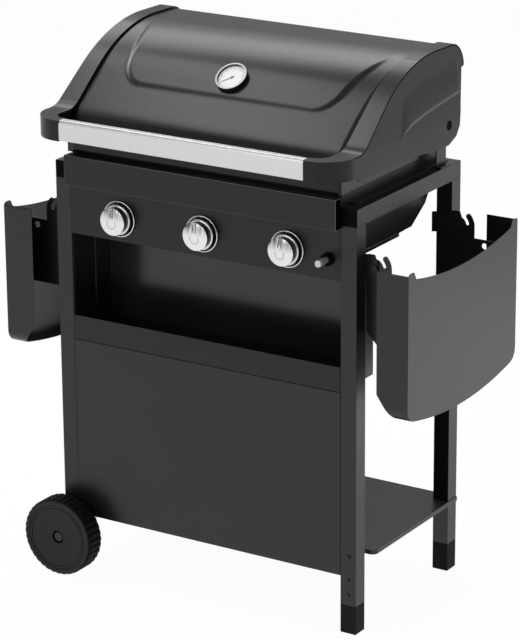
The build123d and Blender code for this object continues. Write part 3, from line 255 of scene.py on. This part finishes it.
finish_of = {piece["node"]: piece["material_slot"] for piece in frame["record"]["subparts"]}
finish_of.update({
    "control_panel": "control_paint", "fascia": "control_paint", "storage_shelf": "control_paint",
    "bottom_shelf": "shelf_paint", "recess_back": "recess_paint", "lid_shell": "lid_paint",
    "pivot_bolts": "dark_paint", "latch_pins": "dark_paint", "axle_caps": "axle_metal",
    "hinge_pins": "black_plastic", "rail_plugs": "black_plastic", "thermometer_case": "bezel_plastic",
    "left_end_cap": "cap_side", "right_end_cap": "cap_side",
})
# Bevel finishes: a painted highlight on the fascia's edges, and black as painted shade along the edges and
# seams of the other panels
edge_highlight_and_shade = {
    "fascia": "painted_edge_highlight", "control_panel": "black_plastic", "front_panel": "black_plastic",
    "storage_shelf": "black_plastic",
}
usual_edge = 0.0006
edge_width = {
    "left_end_cap": 0.001, "right_end_cap": 0.001, "lid_shell": 0.0012, "handle": 0.0012,
    "left_table": 0.003, "right_table": 0.003, "bottom_shelf": 0.0015, "storage_shelf": 0.0012,
    "front_panel": 0.0012, "control_panel": 0.0011, "fascia": 0.0012, "firebox": 0.002,
    "grease_tray": 0.0012, "cooking_grates": 0.0012, "rail_plugs": 0.0015, "foot_caps": 0.004,
}
stem_play = 0.0002
# Upward part of the normal above which the rim's painted sheen begins
sheen_from = 0.3


def clean_facets(node):
    """Welds the facets and joins those that lie in one plane."""
    weld = node.modifiers.new("weld", "WELD")
    weld.merge_threshold = 0.00002
    plain = node.modifiers.new("plain", "DECIMATE")
    plain.decimate_type = "DISSOLVE"
    plain.angle_limit = math.radians(0.4)


def round_edges(node, width, edge_slot):
    """Bevels the sharp edges, with their own material slot unless it is -1; the slot gives the edges a
    painted highlight on the fascia and painted shade on other panels.
    """
    bevel = node.modifiers.new("bevel", "BEVEL")
    bevel.width = width
    bevel.segments = 3
    bevel.limit_method = "ANGLE"
    bevel.angle_limit = math.radians(40)
    bevel.use_clamp_overlap = True
    bevel.harden_normals = False
    bevel.material = edge_slot


def slim(node, play):
    """Draws a round piece in, clear of its bore."""
    shrink = node.modifiers.new("play", "DISPLACE")
    shrink.mid_level = 0.0
    shrink.strength = -play


def even_shading(node):
    """Smooth curves beside flat faces that stay flat."""
    even = node.modifiers.new("even", "WEIGHTED_NORMAL")
    even.mode = "FACE_AREA"
    even.weight = 100
    even.keep_sharp = True
    node.data.shade_smooth()
    node.data.set_sharp_from_angle(angle=math.radians(38))


def dress(name, node):
    """Finish and edges of one CAD node, with a painted highlight on the fascia's bevels and painted shade on
    those of the control panel, front panel and storage shelf.
    """
    node.data.materials.clear()
    node.data.materials.append(finishes[finish_of[name]])
    edge_slot = -1
    if name in edge_highlight_and_shade:
        node.data.materials.append(finishes[edge_highlight_and_shade[name]])
        edge_slot = 1
    clean_facets(node)
    round_edges(node, edge_width.get(name, usual_edge), edge_slot)
    if name.endswith("_valve_stem"):
        slim(node, stem_play)
    even_shading(node)


def paint_rim_sheen(cap):
    """Painted sheen: an end cap's sloping rim gets lighter, glossier copies of its finish than its walls,
    the more the steeper it is.
    """
    for i in range(len(rim_sheen_steps)):
        cap.materials.append(finishes[f"cap_rim_sheen_{i}"])
    for polygon in cap.polygons:
        passed = sum(polygon.normal.z >= facing_up for facing_up, specular in rim_sheen_steps)
        if polygon.normal.z > sheen_from and passed < len(rim_sheen_steps):
            polygon.material_index = passed + 1


for name, node in nodes.items():
    dress(name, node)
for name in ("left_end_cap", "right_end_cap"):
    paint_rim_sheen(nodes[name].data)


# Helpers for the finer pieces, whose sizes are in millimetres

mm = 0.001
weld_gap = 0.002
sides = ((-1, "left"), (1, "right"))


def corners(node):
    """Lowest and highest corner of a CAD node, to a thousandth of a millimetre."""
    return [Vector([round(value / mm, 3) for value in corner]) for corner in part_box(node)]


def middle(node):
    """Centre of a CAD node's box."""
    low, high = corners(node)
    return (low + high) / 2


def step(low, high, value):
    """Smooth rise from 0 to 1."""
    share = min(1.0, max(0.0, (value - low) / (high - low)))
    return share * share * (3 - 2 * share)


def along(table, value):
    """Straight-line reading from a table of pairs."""
    for (a, b), (c, d) in zip(table, table[1:]):
        if value <= c:
            return b + (d - b) * max(0.0, value - a) / (c - a)
    return table[-1][1]


def tangent(line, i):
    """Direction of a line at one of its points."""
    ahead = line[min(i + 1, len(line) - 1)]
    behind = line[max(i - 1, 0)]
    return (ahead - behind).normalized()


def run_on(line, end, gap):
    """Carries a line straight on, almost to its next point."""
    while (end - line[-1]).length > 1.5 * gap:
        line.append(line[-1] + (end - line[-1]).normalized() * gap)


def rounded(points, radii, gap):
    """Dense line through points with arcs of the given radii at the inner ones."""
    line = [Vector(points[0])]
    for before, corner, after, radius in zip(points, points[1:], points[2:], radii):
        corner = Vector(corner)
        back = (Vector(before) - corner).normalized()
        on = (Vector(after) - corner).normalized()
        half = back.angle(on) / 2
        start = corner + back * radius / math.tan(half)
        end = corner + on * radius / math.tan(half)
        centre = corner + (back + on).normalized() * radius / math.sin(half)
        spoke = start - centre
        swing = spoke.angle_signed(end - centre)
        count = max(2, int(abs(swing) * radius / gap))
        run_on(line, start, gap)
        for i in range(count + 1):
            line.append(centre + Matrix.Rotation(-swing * i / count, 2) @ spoke)
    last = Vector(points[-1])
    run_on(line, last, gap)
    line.append(last)
    return line


def turned(profile, place_at, count, closed=False, shape=None):
    """Round piece from radius and height pairs; place_at sets radius, angle and height in space."""
    points = []
    for i in range(count):
        angle = 2 * math.pi * i / count
        for radius, height in profile:
            if shape:
                radius, height = shape(radius, height, angle)
            points.append(place_at(radius, angle, height))
    size = len(profile)
    faces = []
    for i in range(count):
        following = (i + 1) % count
        for j in range(size if closed else size - 1):
            k = (j + 1) % size
            faces.append((i * size + j, i * size + k, following * size + k, following * size + j))
    return points, faces


def facing_front(x, y, z):
    """Placing of turned pieces whose height counts towards the front."""
    def place_at(radius, angle, height):
        return x + radius * math.sin(angle), y - height, z + radius * math.cos(angle)
    return place_at


def grid(rows, columns, flip=False):
    """Faces of a grid of points that are listed row by row."""
    faces = []
    for i in range(rows - 1):
        for j in range(columns - 1):
            first = i * columns + j
            face = (first, first + 1, first + columns + 1, first + columns)
            faces.append(face[::-1] if flip else face)
    return faces


def bar(sections):
    """Closed bar through sections that have the same number of points."""
    size = len(sections[0])
    points = [point for section in sections for point in section]
    faces = []
    for i in range(len(sections) - 1):
        for j in range(size):
            k = (j + 1) % size
            faces.append((i * size + j, i * size + k, (i + 1) * size + k, (i + 1) * size + j))
    last = len(points) - size
    faces.append(tuple(range(size))[::-1])
    faces.append(tuple(range(last, last + size)))
    return points, faces


def joined(shapes):
    """Several shapes as one."""
    points = []
    faces = []
    for more_points, more_faces in shapes:
        first = len(points)
        points += more_points
        faces += [tuple(first + i for i in face) for face in more_faces]
    return points, faces


def weld_points(mesh):
    """Joins points that coincide and turns the faces outwards."""
    work = bmesh.new()
    work.from_mesh(mesh)
    bmesh.ops.remove_doubles(work, verts=work.verts, dist=weld_gap * mm)
    bmesh.ops.recalc_face_normals(work, faces=work.faces)
    work.to_mesh(mesh)
    work.free()


def make(name, shape, finish_name, body, stands_for=(), sharp=35, weld=True):
    """Mesh piece riding on a body, in place of CAD nodes where it stands for them."""
    points, faces = shape
    mesh = bpy.data.meshes.new(name)
    mesh.from_pydata([Vector(point) * mm for point in points], [], faces)
    if weld:
        weld_points(mesh)
    piece = bpy.data.objects.new(name, mesh)
    scene.collection.objects.link(piece)
    mesh.materials.append(finishes[finish_name])
    mesh.shade_smooth()
    mesh.set_sharp_from_angle(angle=math.radians(sharp))
    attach(piece, body)
    if stands_for:
        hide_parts(*stands_for)
    return piece


def thicken(piece, thickness):
    """Gives an open sheet its thickness, inwards."""
    sheet = piece.modifiers.new("sheet", "SOLIDIFY")
    sheet.thickness = thickness * mm
    sheet.offset = -1.0


def paint(piece, finish_name, chosen):
    """Gives another finish to the faces whose centre is chosen."""
    piece.data.materials.append(finishes[finish_name])
    slot_index = len(piece.data.materials) - 1
    for polygon in piece.data.polygons:
        if chosen(polygon.center / mm):
            polygon.material_index = slot_index


legs_front = corners("front_left_leg")[0].y


# Lid sheet with its raised panel; depth counts back from the legs' front faces

# Slope of the end caps, from the rear ends of their noses
slope_angle = math.radians(38.2)
slope = math.tan(slope_angle)
slope_cos = math.cos(slope_angle)
slope_sin = math.sin(slope_angle)
nose_depth = 15.0
nose_top = 985.0

# Sheet, with its bends from front to rear
sheet_low, sheet_high = corners("lid_shell")
sheet_half = sheet_high.x
sheet_front = sheet_low.y - legs_front
sheet_rear = sheet_high.y - legs_front
sheet_top = 1120.0
sheet_rear_top = 1116.1
sheet_rear_bottom = 1017.0
sheet_sink = 4.0
sheet_bends = (75.0, 326.0, 41.0)
sheet_thickness = 1.5
# Height below which the hood's front carries painted shade from the handle
painted_shade_below = 972.0

# Side walls, with their lower corners as depth and height
wall_gap = 1.6
wall_inset = 0.1
wall_thickness = 1.3
wall_rear = (405.0, 963.0)
wall_foot = (380.5, 901.0)

# Raised panel, which gains height and then fades out between these depths
panel_start = 76.0
panel_half_low = 243.0
panel_taper = 0.27
panel_taper_length = 186.0
taper_cos = 0.965
panel_corner = 45.0
panel_flank = 13.0
lower_flank_share = 0.8
panel_low = 3.0
panel_gain = 2.0
gain_depths = (88, 150)
fade_depths = (140, 272)

# Spacing of the points along and across the sheet
close_from = 68
close_to = 124
close_rows = 2.6
wide_rows = 6.5
column_insets = list(range(0, 15, 2)) + [17, 20] + list(range(24, 41, 4))
column_insets += [45, 50, 56, 64, 76, 92, 112, 136, 162, 190]
outer_shares = (1, 0.75, 0.5, 0.25, 0.1)


def slope_z(depth, shift):
    """Height of the end caps' slope line, shifted at right angles to it."""
    return nose_top + slope * (depth - nose_depth) + shift / slope_cos


def panel_half(depth):
    """Half the width of the raised panel, which grows upwards."""
    return panel_half_low + panel_taper * min(panel_taper_length, max(0.0, depth - panel_start))


def panel_rise(depth, x):
    """Height of the raised panel above the sheet."""
    beside = (panel_half(depth) - abs(x)) * taper_cos
    below = lower_flank_share * (depth - panel_start) / slope_cos
    inside = min(beside, below)
    if beside < panel_corner and below < panel_corner:
        inside = panel_corner - math.hypot(panel_corner - beside, panel_corner - below)
    height = panel_low + panel_gain * step(*gain_depths, depth)
    return height * step(0, panel_flank, inside) * (1 - step(*fade_depths, depth))


def hood_line():
    """Side view of the sheet from its front edge over the top to its rear edge."""
    ridge = (sheet_top - slope_z(0, -sheet_sink)) / slope
    return rounded(
        [(sheet_front, sheet_low.z), (sheet_front, slope_z(sheet_front, -sheet_sink)), (ridge, sheet_top),
         (sheet_rear, sheet_rear_top), (sheet_rear, sheet_rear_bottom)],
        sheet_bends, gap=1.0)


def hood_rows():
    """Points along the side view with their outward directions, closer at the panel's lower edge."""
    line = hood_line()
    rows = []
    last = -math.inf
    travel = 0.0
    for i, spot in enumerate(line):
        if i:
            travel += (spot - line[i - 1]).length
        spacing = close_rows if close_from < spot.x < close_to else wide_rows
        if travel - last >= spacing or i == len(line) - 1:
            run = tangent(line, i)
            rows.append((spot, Vector((-run.y, run.x))))
            last = travel
    return rows


def hood_columns(depth):
    """Places across the sheet, closer at the panel's sides."""
    half = panel_half(depth)
    right = [half + (sheet_half - half) * share for share in outer_shares]
    right += [half - inset for inset in column_insets]
    return [-x for x in right] + [0.0] + right[::-1]


def make_hood(rows):
    """Sheet with its raised panel, and painted shade along its lower front edge under the handle."""
    points = []
    for spot, out in rows:
        for x in hood_columns(spot.x):
            lift = panel_rise(spot.x, x)
            points.append((x, legs_front + spot.x + out.x * lift, spot.y + out.y * lift))
    faces = grid(len(rows), len(points) // len(rows))
    hood = make(
        "lid_hood", (points, faces), "lid_paint", "lid", ("lid_shell",), sharp=60, weld=False)
    # Painted shade: below this height the sheet takes the darker, duller cap finish
    paint(hood, "cap_side", lambda centre: centre.z < painted_shade_below)
    thicken(hood, sheet_thickness)


def make_lid_wall(rows, side, side_name):
    """Flat sheet that closes the hood's side."""
    outline = [spot - out * wall_gap for spot, out in rows]
    outline += [Vector(wall_rear), Vector(wall_foot)]
    outline[0].y = outline[-1].y
    outer = sheet_half - wall_inset
    planes = (outer - wall_thickness, outer)
    wall = bar([[(side * x, legs_front + spot.x, spot.y) for spot in outline] for x in planes])
    make(f"lid_{side_name}_wall", wall, "lid_paint", "lid")


lid_rows = hood_rows()
make_hood(lid_rows)
for side, side_name in sides:
    make_lid_wall(lid_rows, side, side_name)


# End caps: crease, and strips of painted shade for the seam and the pin recess, on their sides

cap_high = corners("right_end_cap")[1]
cap_half = cap_high.x
cap_rear = cap_high.y - legs_front
cap_top = 1124.0
cap_rear_top = 1120.0
cap_lean = math.tan(math.radians(4.2))

# Crease: its lower line as depth and height, and the rises above it between which it steps out and fades
crease_line = [
    (150, 940), (160, 970), (172, 988), (192, 996), (218, 1002), (258, 1008), (299, 1013), (345, 1017.5),
    (394, 1022),
]
crease_columns = 60
crease_rises = list(range(-6, 9)) + list(range(11, 78, 6))
crease_lift = 2.8
crease_foot = (-4, 6)
crease_fade = (6, 76)
crease_run_in = 40
crease_run_out = 4
crease_sink = 0.15
crease_thickness = 1.0

# Seam: a dark strip of painted shade, with its section as distance from the rim's edge and height above the
# cap's side
seam_front = -17.0
seam_rear_bottom = 1071.0
seam_bends = (55.0, 330.0, 45.0)
seam_line = rounded(
    [(seam_front, nose_top), (nose_depth, nose_top), (nose_depth + (cap_top - nose_top) / slope, cap_top),
     (cap_rear, cap_rear_top), (cap_rear, seam_rear_bottom)],
    seam_bends, gap=3.0)
seam_section = [(0.8, -0.3), (0.8, 0.08), (3.2, 0.08), (3.2, -0.3)]

# Pin recess: a flat dark ring of painted shade, with its section as radius and height above the cap's side
recess_section = [(7.3, -0.3), (7.3, 0.3), (10.2, 0.3), (10.6, 0.1), (10.6, -0.3)]
hinge = middle("hinge_pins")


def cap_x(z):
    """Half the width over the end caps, which lean inwards above their noses."""
    return cap_half - cap_lean * max(0.0, z - nose_top)


def make_crease(side, side_name):
    """Soft crease: a step in the cap's side that fades out upwards and at its ends."""
    start = crease_line[0][0]
    end = crease_line[-1][0]
    points = []
    for rise in crease_rises:
        full_lift = crease_lift * step(*crease_foot, rise) * (1 - step(*crease_fade, rise))
        for i in range(crease_columns + 1):
            depth = start + (end - start) * i / crease_columns
            ends = step(0, crease_run_in, depth - start) * step(0, crease_run_out, end - depth)
            z = along(crease_line, depth) + rise
            x = cap_x(z) + full_lift * ends - crease_sink
            points.append((side * x, legs_front + depth, z))
    faces = grid(len(crease_rises), crease_columns + 1, flip=side < 0)
    crease = make(
        f"{side_name}_cap_crease", (points, faces), "cap_side", "lid", sharp=60, weld=False)
    thicken(crease, crease_thickness)


def make_seam_shade(side, side_name):
    """Dark strip along the outer edge of the cap's rim: painted shade where the rim meets the side."""
    sections = []
    for i, spot in enumerate(seam_line):
        run = tangent(seam_line, i)
        inward = Vector((run.y, -run.x))
        section = []
        for reach, out in seam_section:
            depth, z = spot + inward * reach
            section.append((side * (cap_x(z) + out), legs_front + depth, z))
        sections.append(section)
    make(f"{side_name}_cap_seam_shade", bar(sections), "black_plastic", "lid", sharp=40)


def make_pin_recess(side, side_name):
    """Dark ring round the end of the hinge pin: painted shade standing for a recess there."""
    def place_at(radius, angle, height):
        y = hinge.y + radius * math.sin(angle)
        z = hinge.z + radius * math.cos(angle)
        return side * (cap_half + height), y, z

    recess = turned(recess_section, place_at, count=48, closed=True)
    make(f"{side_name}_pin_recess", recess, "black_plastic", "lid", sharp=40)


for make_detail in (make_crease, make_seam_shade, make_pin_recess):
    for side, side_name in sides:
        make_detail(side, side_name)


# Wheels: radius, and height inwards from the outer face

axle = middle("axle")
hub_front = [(5.1, 14), (12.6, 14), (13.5, 13.2), (13.5, 4.2), (14.4, 3.1)]
wheel_web = [(18, 2.8), (30, 2.9), (45, 2.8), (58, 2.4), (61.5, 2.1)]
ring_grooves = [
    (62.2, 2.3), (62.6, 3.2), (64.2, 3.2), (64.6, 2.1), (65.2, 1.8), (67.4, 1.6), (67.9, 1.8), (68.3, 2.6),
    (69.9, 2.6), (70.3, 1.5), (70.9, 1.2),
]
tyre = [
    (73, 0.7), (74.6, 0.25), (76.8, 0.1), (79.4, 0.7), (81.4, 2.2), (82.3, 4.6), (82.3, 10), (82.3, 23),
    (82.3, 36), (82.3, 41.4), (81.4, 43.8), (79.4, 45.3), (76, 45.9), (69, 45.9), (66.9, 45.3), (66.1, 44.2),
]
hollow_back = [(66.1, 22), (65.2, 21), (18, 21), (17, 22), (17, 45), (16.2, 45.9), (5.1, 45.9)]
lug_count = 36
lug_facets = 8
lug_groove = 2.4
groove_edges = (0.34, 0.43)
tread_from = 78.0
tread_full = 82.0
dark_from = 80.0


def lug(radius, height, angle):
    """Tread lugs: the grooves between them take some of the radius."""
    part = (angle / (2 * math.pi) * lug_count + 0.5) % 1.0
    groove = step(*groove_edges, abs(part - 0.5))
    return radius - lug_groove * groove * step(tread_from, tread_full, radius), height


def make_wheel(name, body, outer, inward):
    """Moulded wheel that is open at the back, with a dark tread."""
    def place_at(radius, angle, height):
        return axle.x + radius * math.sin(angle), outer + inward * height, axle.z + radius * math.cos(angle)

    def on_tread(spot):
        return math.hypot(spot.x - axle.x, spot.z - axle.z) > dark_from

    profile = hub_front + wheel_web + ring_grooves + tyre + hollow_back
    moulding = turned(profile, place_at, count=lug_facets * lug_count, closed=True, shape=lug)
    wheel = make(f"{name}_moulding", moulding, "wheel_plastic", body, (name,), sharp=30)
    paint(wheel, "tread_plastic", on_tread)


make_wheel("front_wheel", "front_cart_wheel", corners("front_wheel")[0].y, 1)
make_wheel("rear_wheel", "rear_cart_wheel", corners("rear_wheel")[1].y, -1)


# Knobs: radius, and height towards the front

bezel_line = [
    (6.2, 0.2), (6.2, 2.6), (30, 2.6), (33.6, 2.4), (34.2, 2.6), (34.7, 3.9), (35.6, 4.4), (36.6, 4.3),
    (37.3, 3.6), (37.5, 0.2),
]
bright_from = 34.4
bright_above = 2.8
ring_line = [(27.2, 0.4), (30.4, 0.4), (31.0, 0.9), (31.0, 2.6), (30.2, 3.4), (28.6, 3.9), (27.2, 4.0)]
knob_line = [(4.6, 0.2), (26.6, 0.2), (27.0, 0.6), (27.0, 16.9), (26.5, 17.4), (4.6, 17.4)]
dot_line = [(0, 4.5), (0.9, 4.4), (1.5, 4.2), (1.7, 3.4), (0, 3.4)]
dot_above = 35.2
face_rim = [(0.0, 0.1), (27.6, 0.1), (28.3, 0.4), (28.5, 0.7), (28.5, 1.0), (28.2, 1.3), (27.7, 1.5)]
rim_height = 1.55
rim_radius = 27.5
dome_rings = 30
dome_radius = 27.0
dome_top = 4.95
dome_rise = 3.3

# Relief of a face: the distances between which each of its slopes rises
notch_depth = 1.2
notch_flanks = (2.0, 4.6)
notch_end = (8.0, 14.0)
ring_dent = 0.45
ring_below = 4.0
ring_inner = (8.2, 9.4)
ring_outer = (10.2, 11.4)
ring_fade = (0.0, 6.0)

# Where a face carries painted dark reflections on the notch's flanks, painted shade in the ring and painted
# dark streaks
dome_from = 1.0
dark_near = 1.9
dark_far = 4.4
dark_above = 9.0
soft_near = 8.8
soft_far = 10.8
soft_below = 1.0
# Painted dark reflections: colour, height and scale of the streaks on the knobs' faces
reflection_streak_colour = (0.10, 0.10, 0.105)
streak_height = 20.0
streak_scale = 260.0

knob_names = ("left", "middle", "right")
knob_centres = [middle(f"{name}_knob_face") for name in knob_names]
knob_z = knob_centres[0].z
painted_reflection_streaks(
    finishes["face_chrome"], reflection_streak_colour, knob_z * mm, (knob_z + streak_height) * mm, streak_scale)


def face_line():
    """Rim and low dome of a knob's face."""
    dome = []
    for i in range(dome_rings + 1):
        share = 1 - i / dome_rings
        dome.append((dome_radius * share, dome_top - dome_rise * share ** 2))
    return face_rim + dome


def grip(radius, height, angle):
    """Grip notch from the rim of a knob's face to near its middle, and a ring below the middle."""
    if height < rim_height or radius > rim_radius:
        return radius, height
    x = radius * math.sin(angle)
    z = radius * math.cos(angle)
    notch = (1 - step(*notch_flanks, abs(x))) * step(*notch_end, z)
    beside = math.hypot(x, z + ring_below)
    ring = step(*ring_inner, beside) * (1 - step(*ring_outer, beside)) * (1 - step(*ring_fade, z))
    return radius, height - notch_depth * notch - ring_dent * ring


def paint_face(cover, centre, back):
    """Painted dark reflections on the flanks of the notch, and painted shade with softer metal in the ring.
    """
    def on_flank(spot):
        beside = abs(spot.x - centre.x)
        on_notch = dark_near < beside < dark_far and spot.z - centre.z > dark_above
        return on_notch and spot.y < back - dome_from

    def on_ring(spot):
        above = spot.z - centre.z
        beside = math.hypot(spot.x - centre.x, above + ring_below)
        on_band = soft_near < beside < soft_far and above < soft_below
        return on_band and spot.y < back - dome_from and not on_flank(spot)

    paint(cover, "painted_reflection_chrome", on_flank)
    paint(cover, "painted_shade_chrome", on_ring)


def make_knob(name, centre):
    """Base ring, body and bright face of a knob, and the dot above it."""
    body = f"{name}_control"
    knob_at = facing_front(centre.x, corners(f"{name}_knob")[1].y, centre.z)
    face_back = corners(f"{name}_knob_face")[1].y
    face_at = facing_front(centre.x, face_back, centre.z)
    dot_at = facing_front(centre.x, legs_front, centre.z + dot_above)
    base_ring = turned(ring_line, knob_at, count=96, closed=True)
    make(f"{name}_base_ring", base_ring, "ring_chrome", body, sharp=40)
    knob_body = turned(knob_line, knob_at, count=96, closed=True)
    make(f"{name}_knob_body", knob_body, "bezel_plastic", body, (f"{name}_knob",), sharp=40)
    face = turned(face_line(), face_at, count=180, shape=grip)
    cover = make(f"{name}_knob_cover", face, "face_chrome", body, (f"{name}_knob_face",), sharp=50)
    paint_face(cover, centre, face_back)
    index_dot = turned(dot_line, dot_at, count=16)
    make(f"{name}_index_dot", index_dot, "white_mark", "cart")


def on_bright_ring(spot):
    """Whether a point lies on the bright outer ring of a bezel."""
    beside = min(math.hypot(spot.x - centre.x, spot.z - centre.z) for centre in knob_centres)
    return beside > bright_from and spot.y < legs_front - bright_above


skirts = []
for name, centre in zip(knob_names, knob_centres):
    make_knob(name, centre)
    skirt_at = facing_front(centre.x, legs_front, centre.z)
    skirts.append(turned(bezel_line, skirt_at, count=96, closed=True))
bezels = make(
    "knob_skirts", joined(skirts), "bezel_plastic", "cart", ("knob_bezels",), sharp=40)
paint(bezels, "ring_chrome", on_bright_ring)


# Igniter: radius, and height towards the front

collar_line = [
    (6.3, -58), (8.0, -58), (8.2, 0), (12.4, 0.1), (13.0, 0.8), (13.0, 8.2), (12.2, 9.6), (10.6, 10.2),
    (8.6, 10.2), (7.9, 9.6), (7.7, 6.3), (6.3, 6.3),
]
button_line = [
    (0, -30), (5.9, -30), (5.9, 16.8), (6.7, 17.0), (7.0, 17.6), (7.0, 37.6), (6.4, 39.2), (5.0, 39.9),
    (0, 40.0),
]
white_above = 38.0
igniter = middle("igniter_button")
igniter_at = facing_front(igniter.x, legs_front, igniter.z)
collar = turned(collar_line, igniter_at, count=64, closed=True)
make("igniter_collar", collar, "black_plastic", "cart", ("igniter_body",), sharp=40)
button = turned(button_line, igniter_at, count=64)
pin = make("igniter_pin", button, "pin_metal", "igniter_push", ("igniter_button",), sharp=40)
paint(pin, "dial_white", lambda centre: centre.y < legs_front - white_above)


# Thermometer: pale rim, and marks round the dial over the needle's sweep

dial_depth = 114.0
dial_out = Vector((0, -slope_sin, slope_cos))
dial_up = Vector((0, slope_cos, slope_sin))
dial_middle = Vector((0, legs_front + dial_depth, slope_z(dial_depth, 1.0)))
pale_above = 7.9
mark_count = 25
mark_start = 219.0
mark_turn = 10.0
mark_end = 26.5
mark_heights = (2.1, 2.4)
long_every = 4
# Inner end and half width of a mark
long_mark = (20.5, 0.55)
short_mark = (23.0, 0.35)


def on_pale_rim(spot):
    """Whether a point lies on the pale rim of the thermometer's case."""
    return (spot - dial_middle).dot(dial_out) > pale_above


def dial_mark(i):
    """One mark of the dial."""
    angle = math.radians(mark_start - mark_turn * i)
    outward = Vector((math.cos(angle), 0, 0)) + dial_up * math.sin(angle)
    sideways = Vector((-math.sin(angle), 0, 0)) + dial_up * math.cos(angle)
    inner, half = short_mark if i % long_every else long_mark
    outline = [(inner, -half), (inner, half), (mark_end, half), (mark_end, -half)]
    flat = [dial_middle + outward * radius + sideways * across for radius, across in outline]
    return bar([[spot + dial_out * height for spot in flat] for height in mark_heights])


paint(nodes["thermometer_case"], "dial_white", on_pale_rim)
marks = joined([dial_mark(i) for i in range(mark_count)])
make("dial_marks", marks, "dial_ink", "lid", sharp=30)


# Floor and light

floor_half = 12.0
floor_colour = (0.8, 0.8, 0.8, 1)
floor_glow = 1.03
floor_share = 0.93
world_light = 0.36
world_seen = 1.0


def either(tree, first, second):
    """1 where either of two values is 1."""
    node = tree.nodes.new("ShaderNodeMath")
    node.operation = "MAXIMUM"
    tree.links.new(first, node.inputs[0])
    tree.links.new(second, node.inputs[1])
    return node.outputs[0]


def background(tree, strength):
    """White background light."""
    node = tree.nodes.new("ShaderNodeBackground")
    node.inputs["Color"].default_value = (1, 1, 1, 1)
    node.inputs["Strength"].default_value = strength
    return node.outputs[0]


def mixed(tree, share, first, second, output):
    """Sends a mix of two shaders to an output."""
    mix = tree.nodes.new("ShaderNodeMixShader")
    tree.links.new(share, mix.inputs["Fac"])
    tree.links.new(first, mix.inputs[1])
    tree.links.new(second, mix.inputs[2])
    tree.links.new(mix.outputs[0], output.inputs["Surface"])


def white_world():
    """Soft even light, seen as white."""
    world = bpy.data.worlds.new("studio")
    scene.world = world
    world.use_nodes = True
    tree = world.node_tree
    tree.nodes.clear()
    output = tree.nodes.new("ShaderNodeOutputWorld")
    path = tree.nodes.new("ShaderNodeLightPath")
    seen = either(tree, path.outputs["Is Camera Ray"], path.outputs["Is Transmission Ray"])
    mixed(tree, seen, background(tree, world_light), background(tree, world_seen), output)


def floor_material():
    """Pale floor that keeps a soft shadow and otherwise reads white."""
    material = bpy.data.materials.new("studio_floor")
    material.use_nodes = True
    tree = material.node_tree
    tree.nodes.clear()
    output = tree.nodes.new("ShaderNodeOutputMaterial")
    matt = tree.nodes.new("ShaderNodeBsdfDiffuse")
    matt.inputs["Color"].default_value = floor_colour
    glow = tree.nodes.new("ShaderNodeEmission")
    glow.inputs["Strength"].default_value = floor_glow
    path = tree.nodes.new("ShaderNodeLightPath")
    share = tree.nodes.new("ShaderNodeMath")
    share.operation = "MULTIPLY"
    share.inputs[1].default_value = floor_share
    seen = either(tree, path.outputs["Is Camera Ray"], path.outputs["Is Glossy Ray"])
    tree.links.new(seen, share.inputs[0])
    mixed(tree, share.outputs[0], matt.outputs[0], glow.outputs[0], output)
    return material


def make_floor():
    """Square floor under the object."""
    square = [(-1, -1), (1, -1), (1, 1), (-1, 1)]
    mesh = bpy.data.meshes.new("studio_floor")
    mesh.from_pydata([(x * floor_half, y * floor_half, 0) for x, y in square], [], [(0, 1, 2, 3)])
    mesh.materials.append(floor_material())
    floor = bpy.data.objects.new("studio_floor", mesh)
    scene.collection.objects.link(floor)


def softbox(name, at, aim, width, height, power):
    """Large soft lamp, which the camera doesn't see."""
    lamp = bpy.data.lights.new(name, "AREA")
    lamp.shape = "RECTANGLE"
    lamp.size = width
    lamp.size_y = height
    lamp.energy = power
    holder = bpy.data.objects.new(name, lamp)
    scene.collection.objects.link(holder)
    holder.location = at
    holder.rotation_euler = (Vector(aim) - Vector(at)).to_track_quat("-Z", "Y").to_euler()
    holder.visible_camera = False


cart_middle = (0, 0, 0.7)
lid_middle = (0, 0, 1.05)
lid_front = (0, -0.08, 1.05)
white_world()
make_floor()
softbox("right_softbox", (3.6, -0.4, 1.9), cart_middle, width=2.4, height=2.4, power=20)
softbox("front_softbox", (-0.9, -4.2, 1.9), cart_middle, width=2.6, height=2.0, power=30)
softbox("brow_softbox", (-1.41, 1.68, 2.79), lid_middle, width=3.0, height=1.0, power=25)
softbox("slope_softbox", (-1.32, -0.39, 3.27), lid_front, width=1.8, height=0.8, power=14)
softbox("left_softbox", (-2.6, 0.35, 2.25), lid_middle, width=1.5, height=1.0, power=16)
softbox("floor_softbox", (1.35, 1.25, 0.03), (1.35, 1.25, 2.0), width=1.3, height=1.5, power=3)


# Camera at the photograph's viewing angle

camera_place = Vector((3.16435, -4.99535, 2.53578))
camera_azimuth = math.radians(32.27)
camera_elevation = math.radians(18.63)
camera_roll = math.radians(-0.43)
camera_lens = 172.83
sensor_height = 36.0
view_end = 60.0


def camera_pose():
    """Matrix of the camera's place and its right, up and back directions."""
    level_right = Vector((math.cos(camera_azimuth), math.sin(camera_azimuth), 0))
    level_ahead = Vector((-math.sin(camera_azimuth), math.cos(camera_azimuth), 0))
    ahead = level_ahead * math.cos(camera_elevation) - Vector((0, 0, math.sin(camera_elevation)))
    level_up = level_right.cross(ahead)
    right = level_right * math.cos(camera_roll) + level_up * math.sin(camera_roll)
    up = level_up * math.cos(camera_roll) - level_right * math.sin(camera_roll)
    pose = Matrix((right, up, -ahead)).transposed().to_4x4()
    pose.translation = camera_place
    return pose


camera_data = bpy.data.cameras.new("camera")
camera_data.sensor_fit = "VERTICAL"
camera_data.sensor_height = sensor_height
camera_data.lens = camera_lens
camera_data.clip_end = view_end
camera = bpy.data.objects.new("camera", camera_data)
scene.collection.objects.link(camera)
camera.matrix_world = camera_pose()
scene.camera = camera
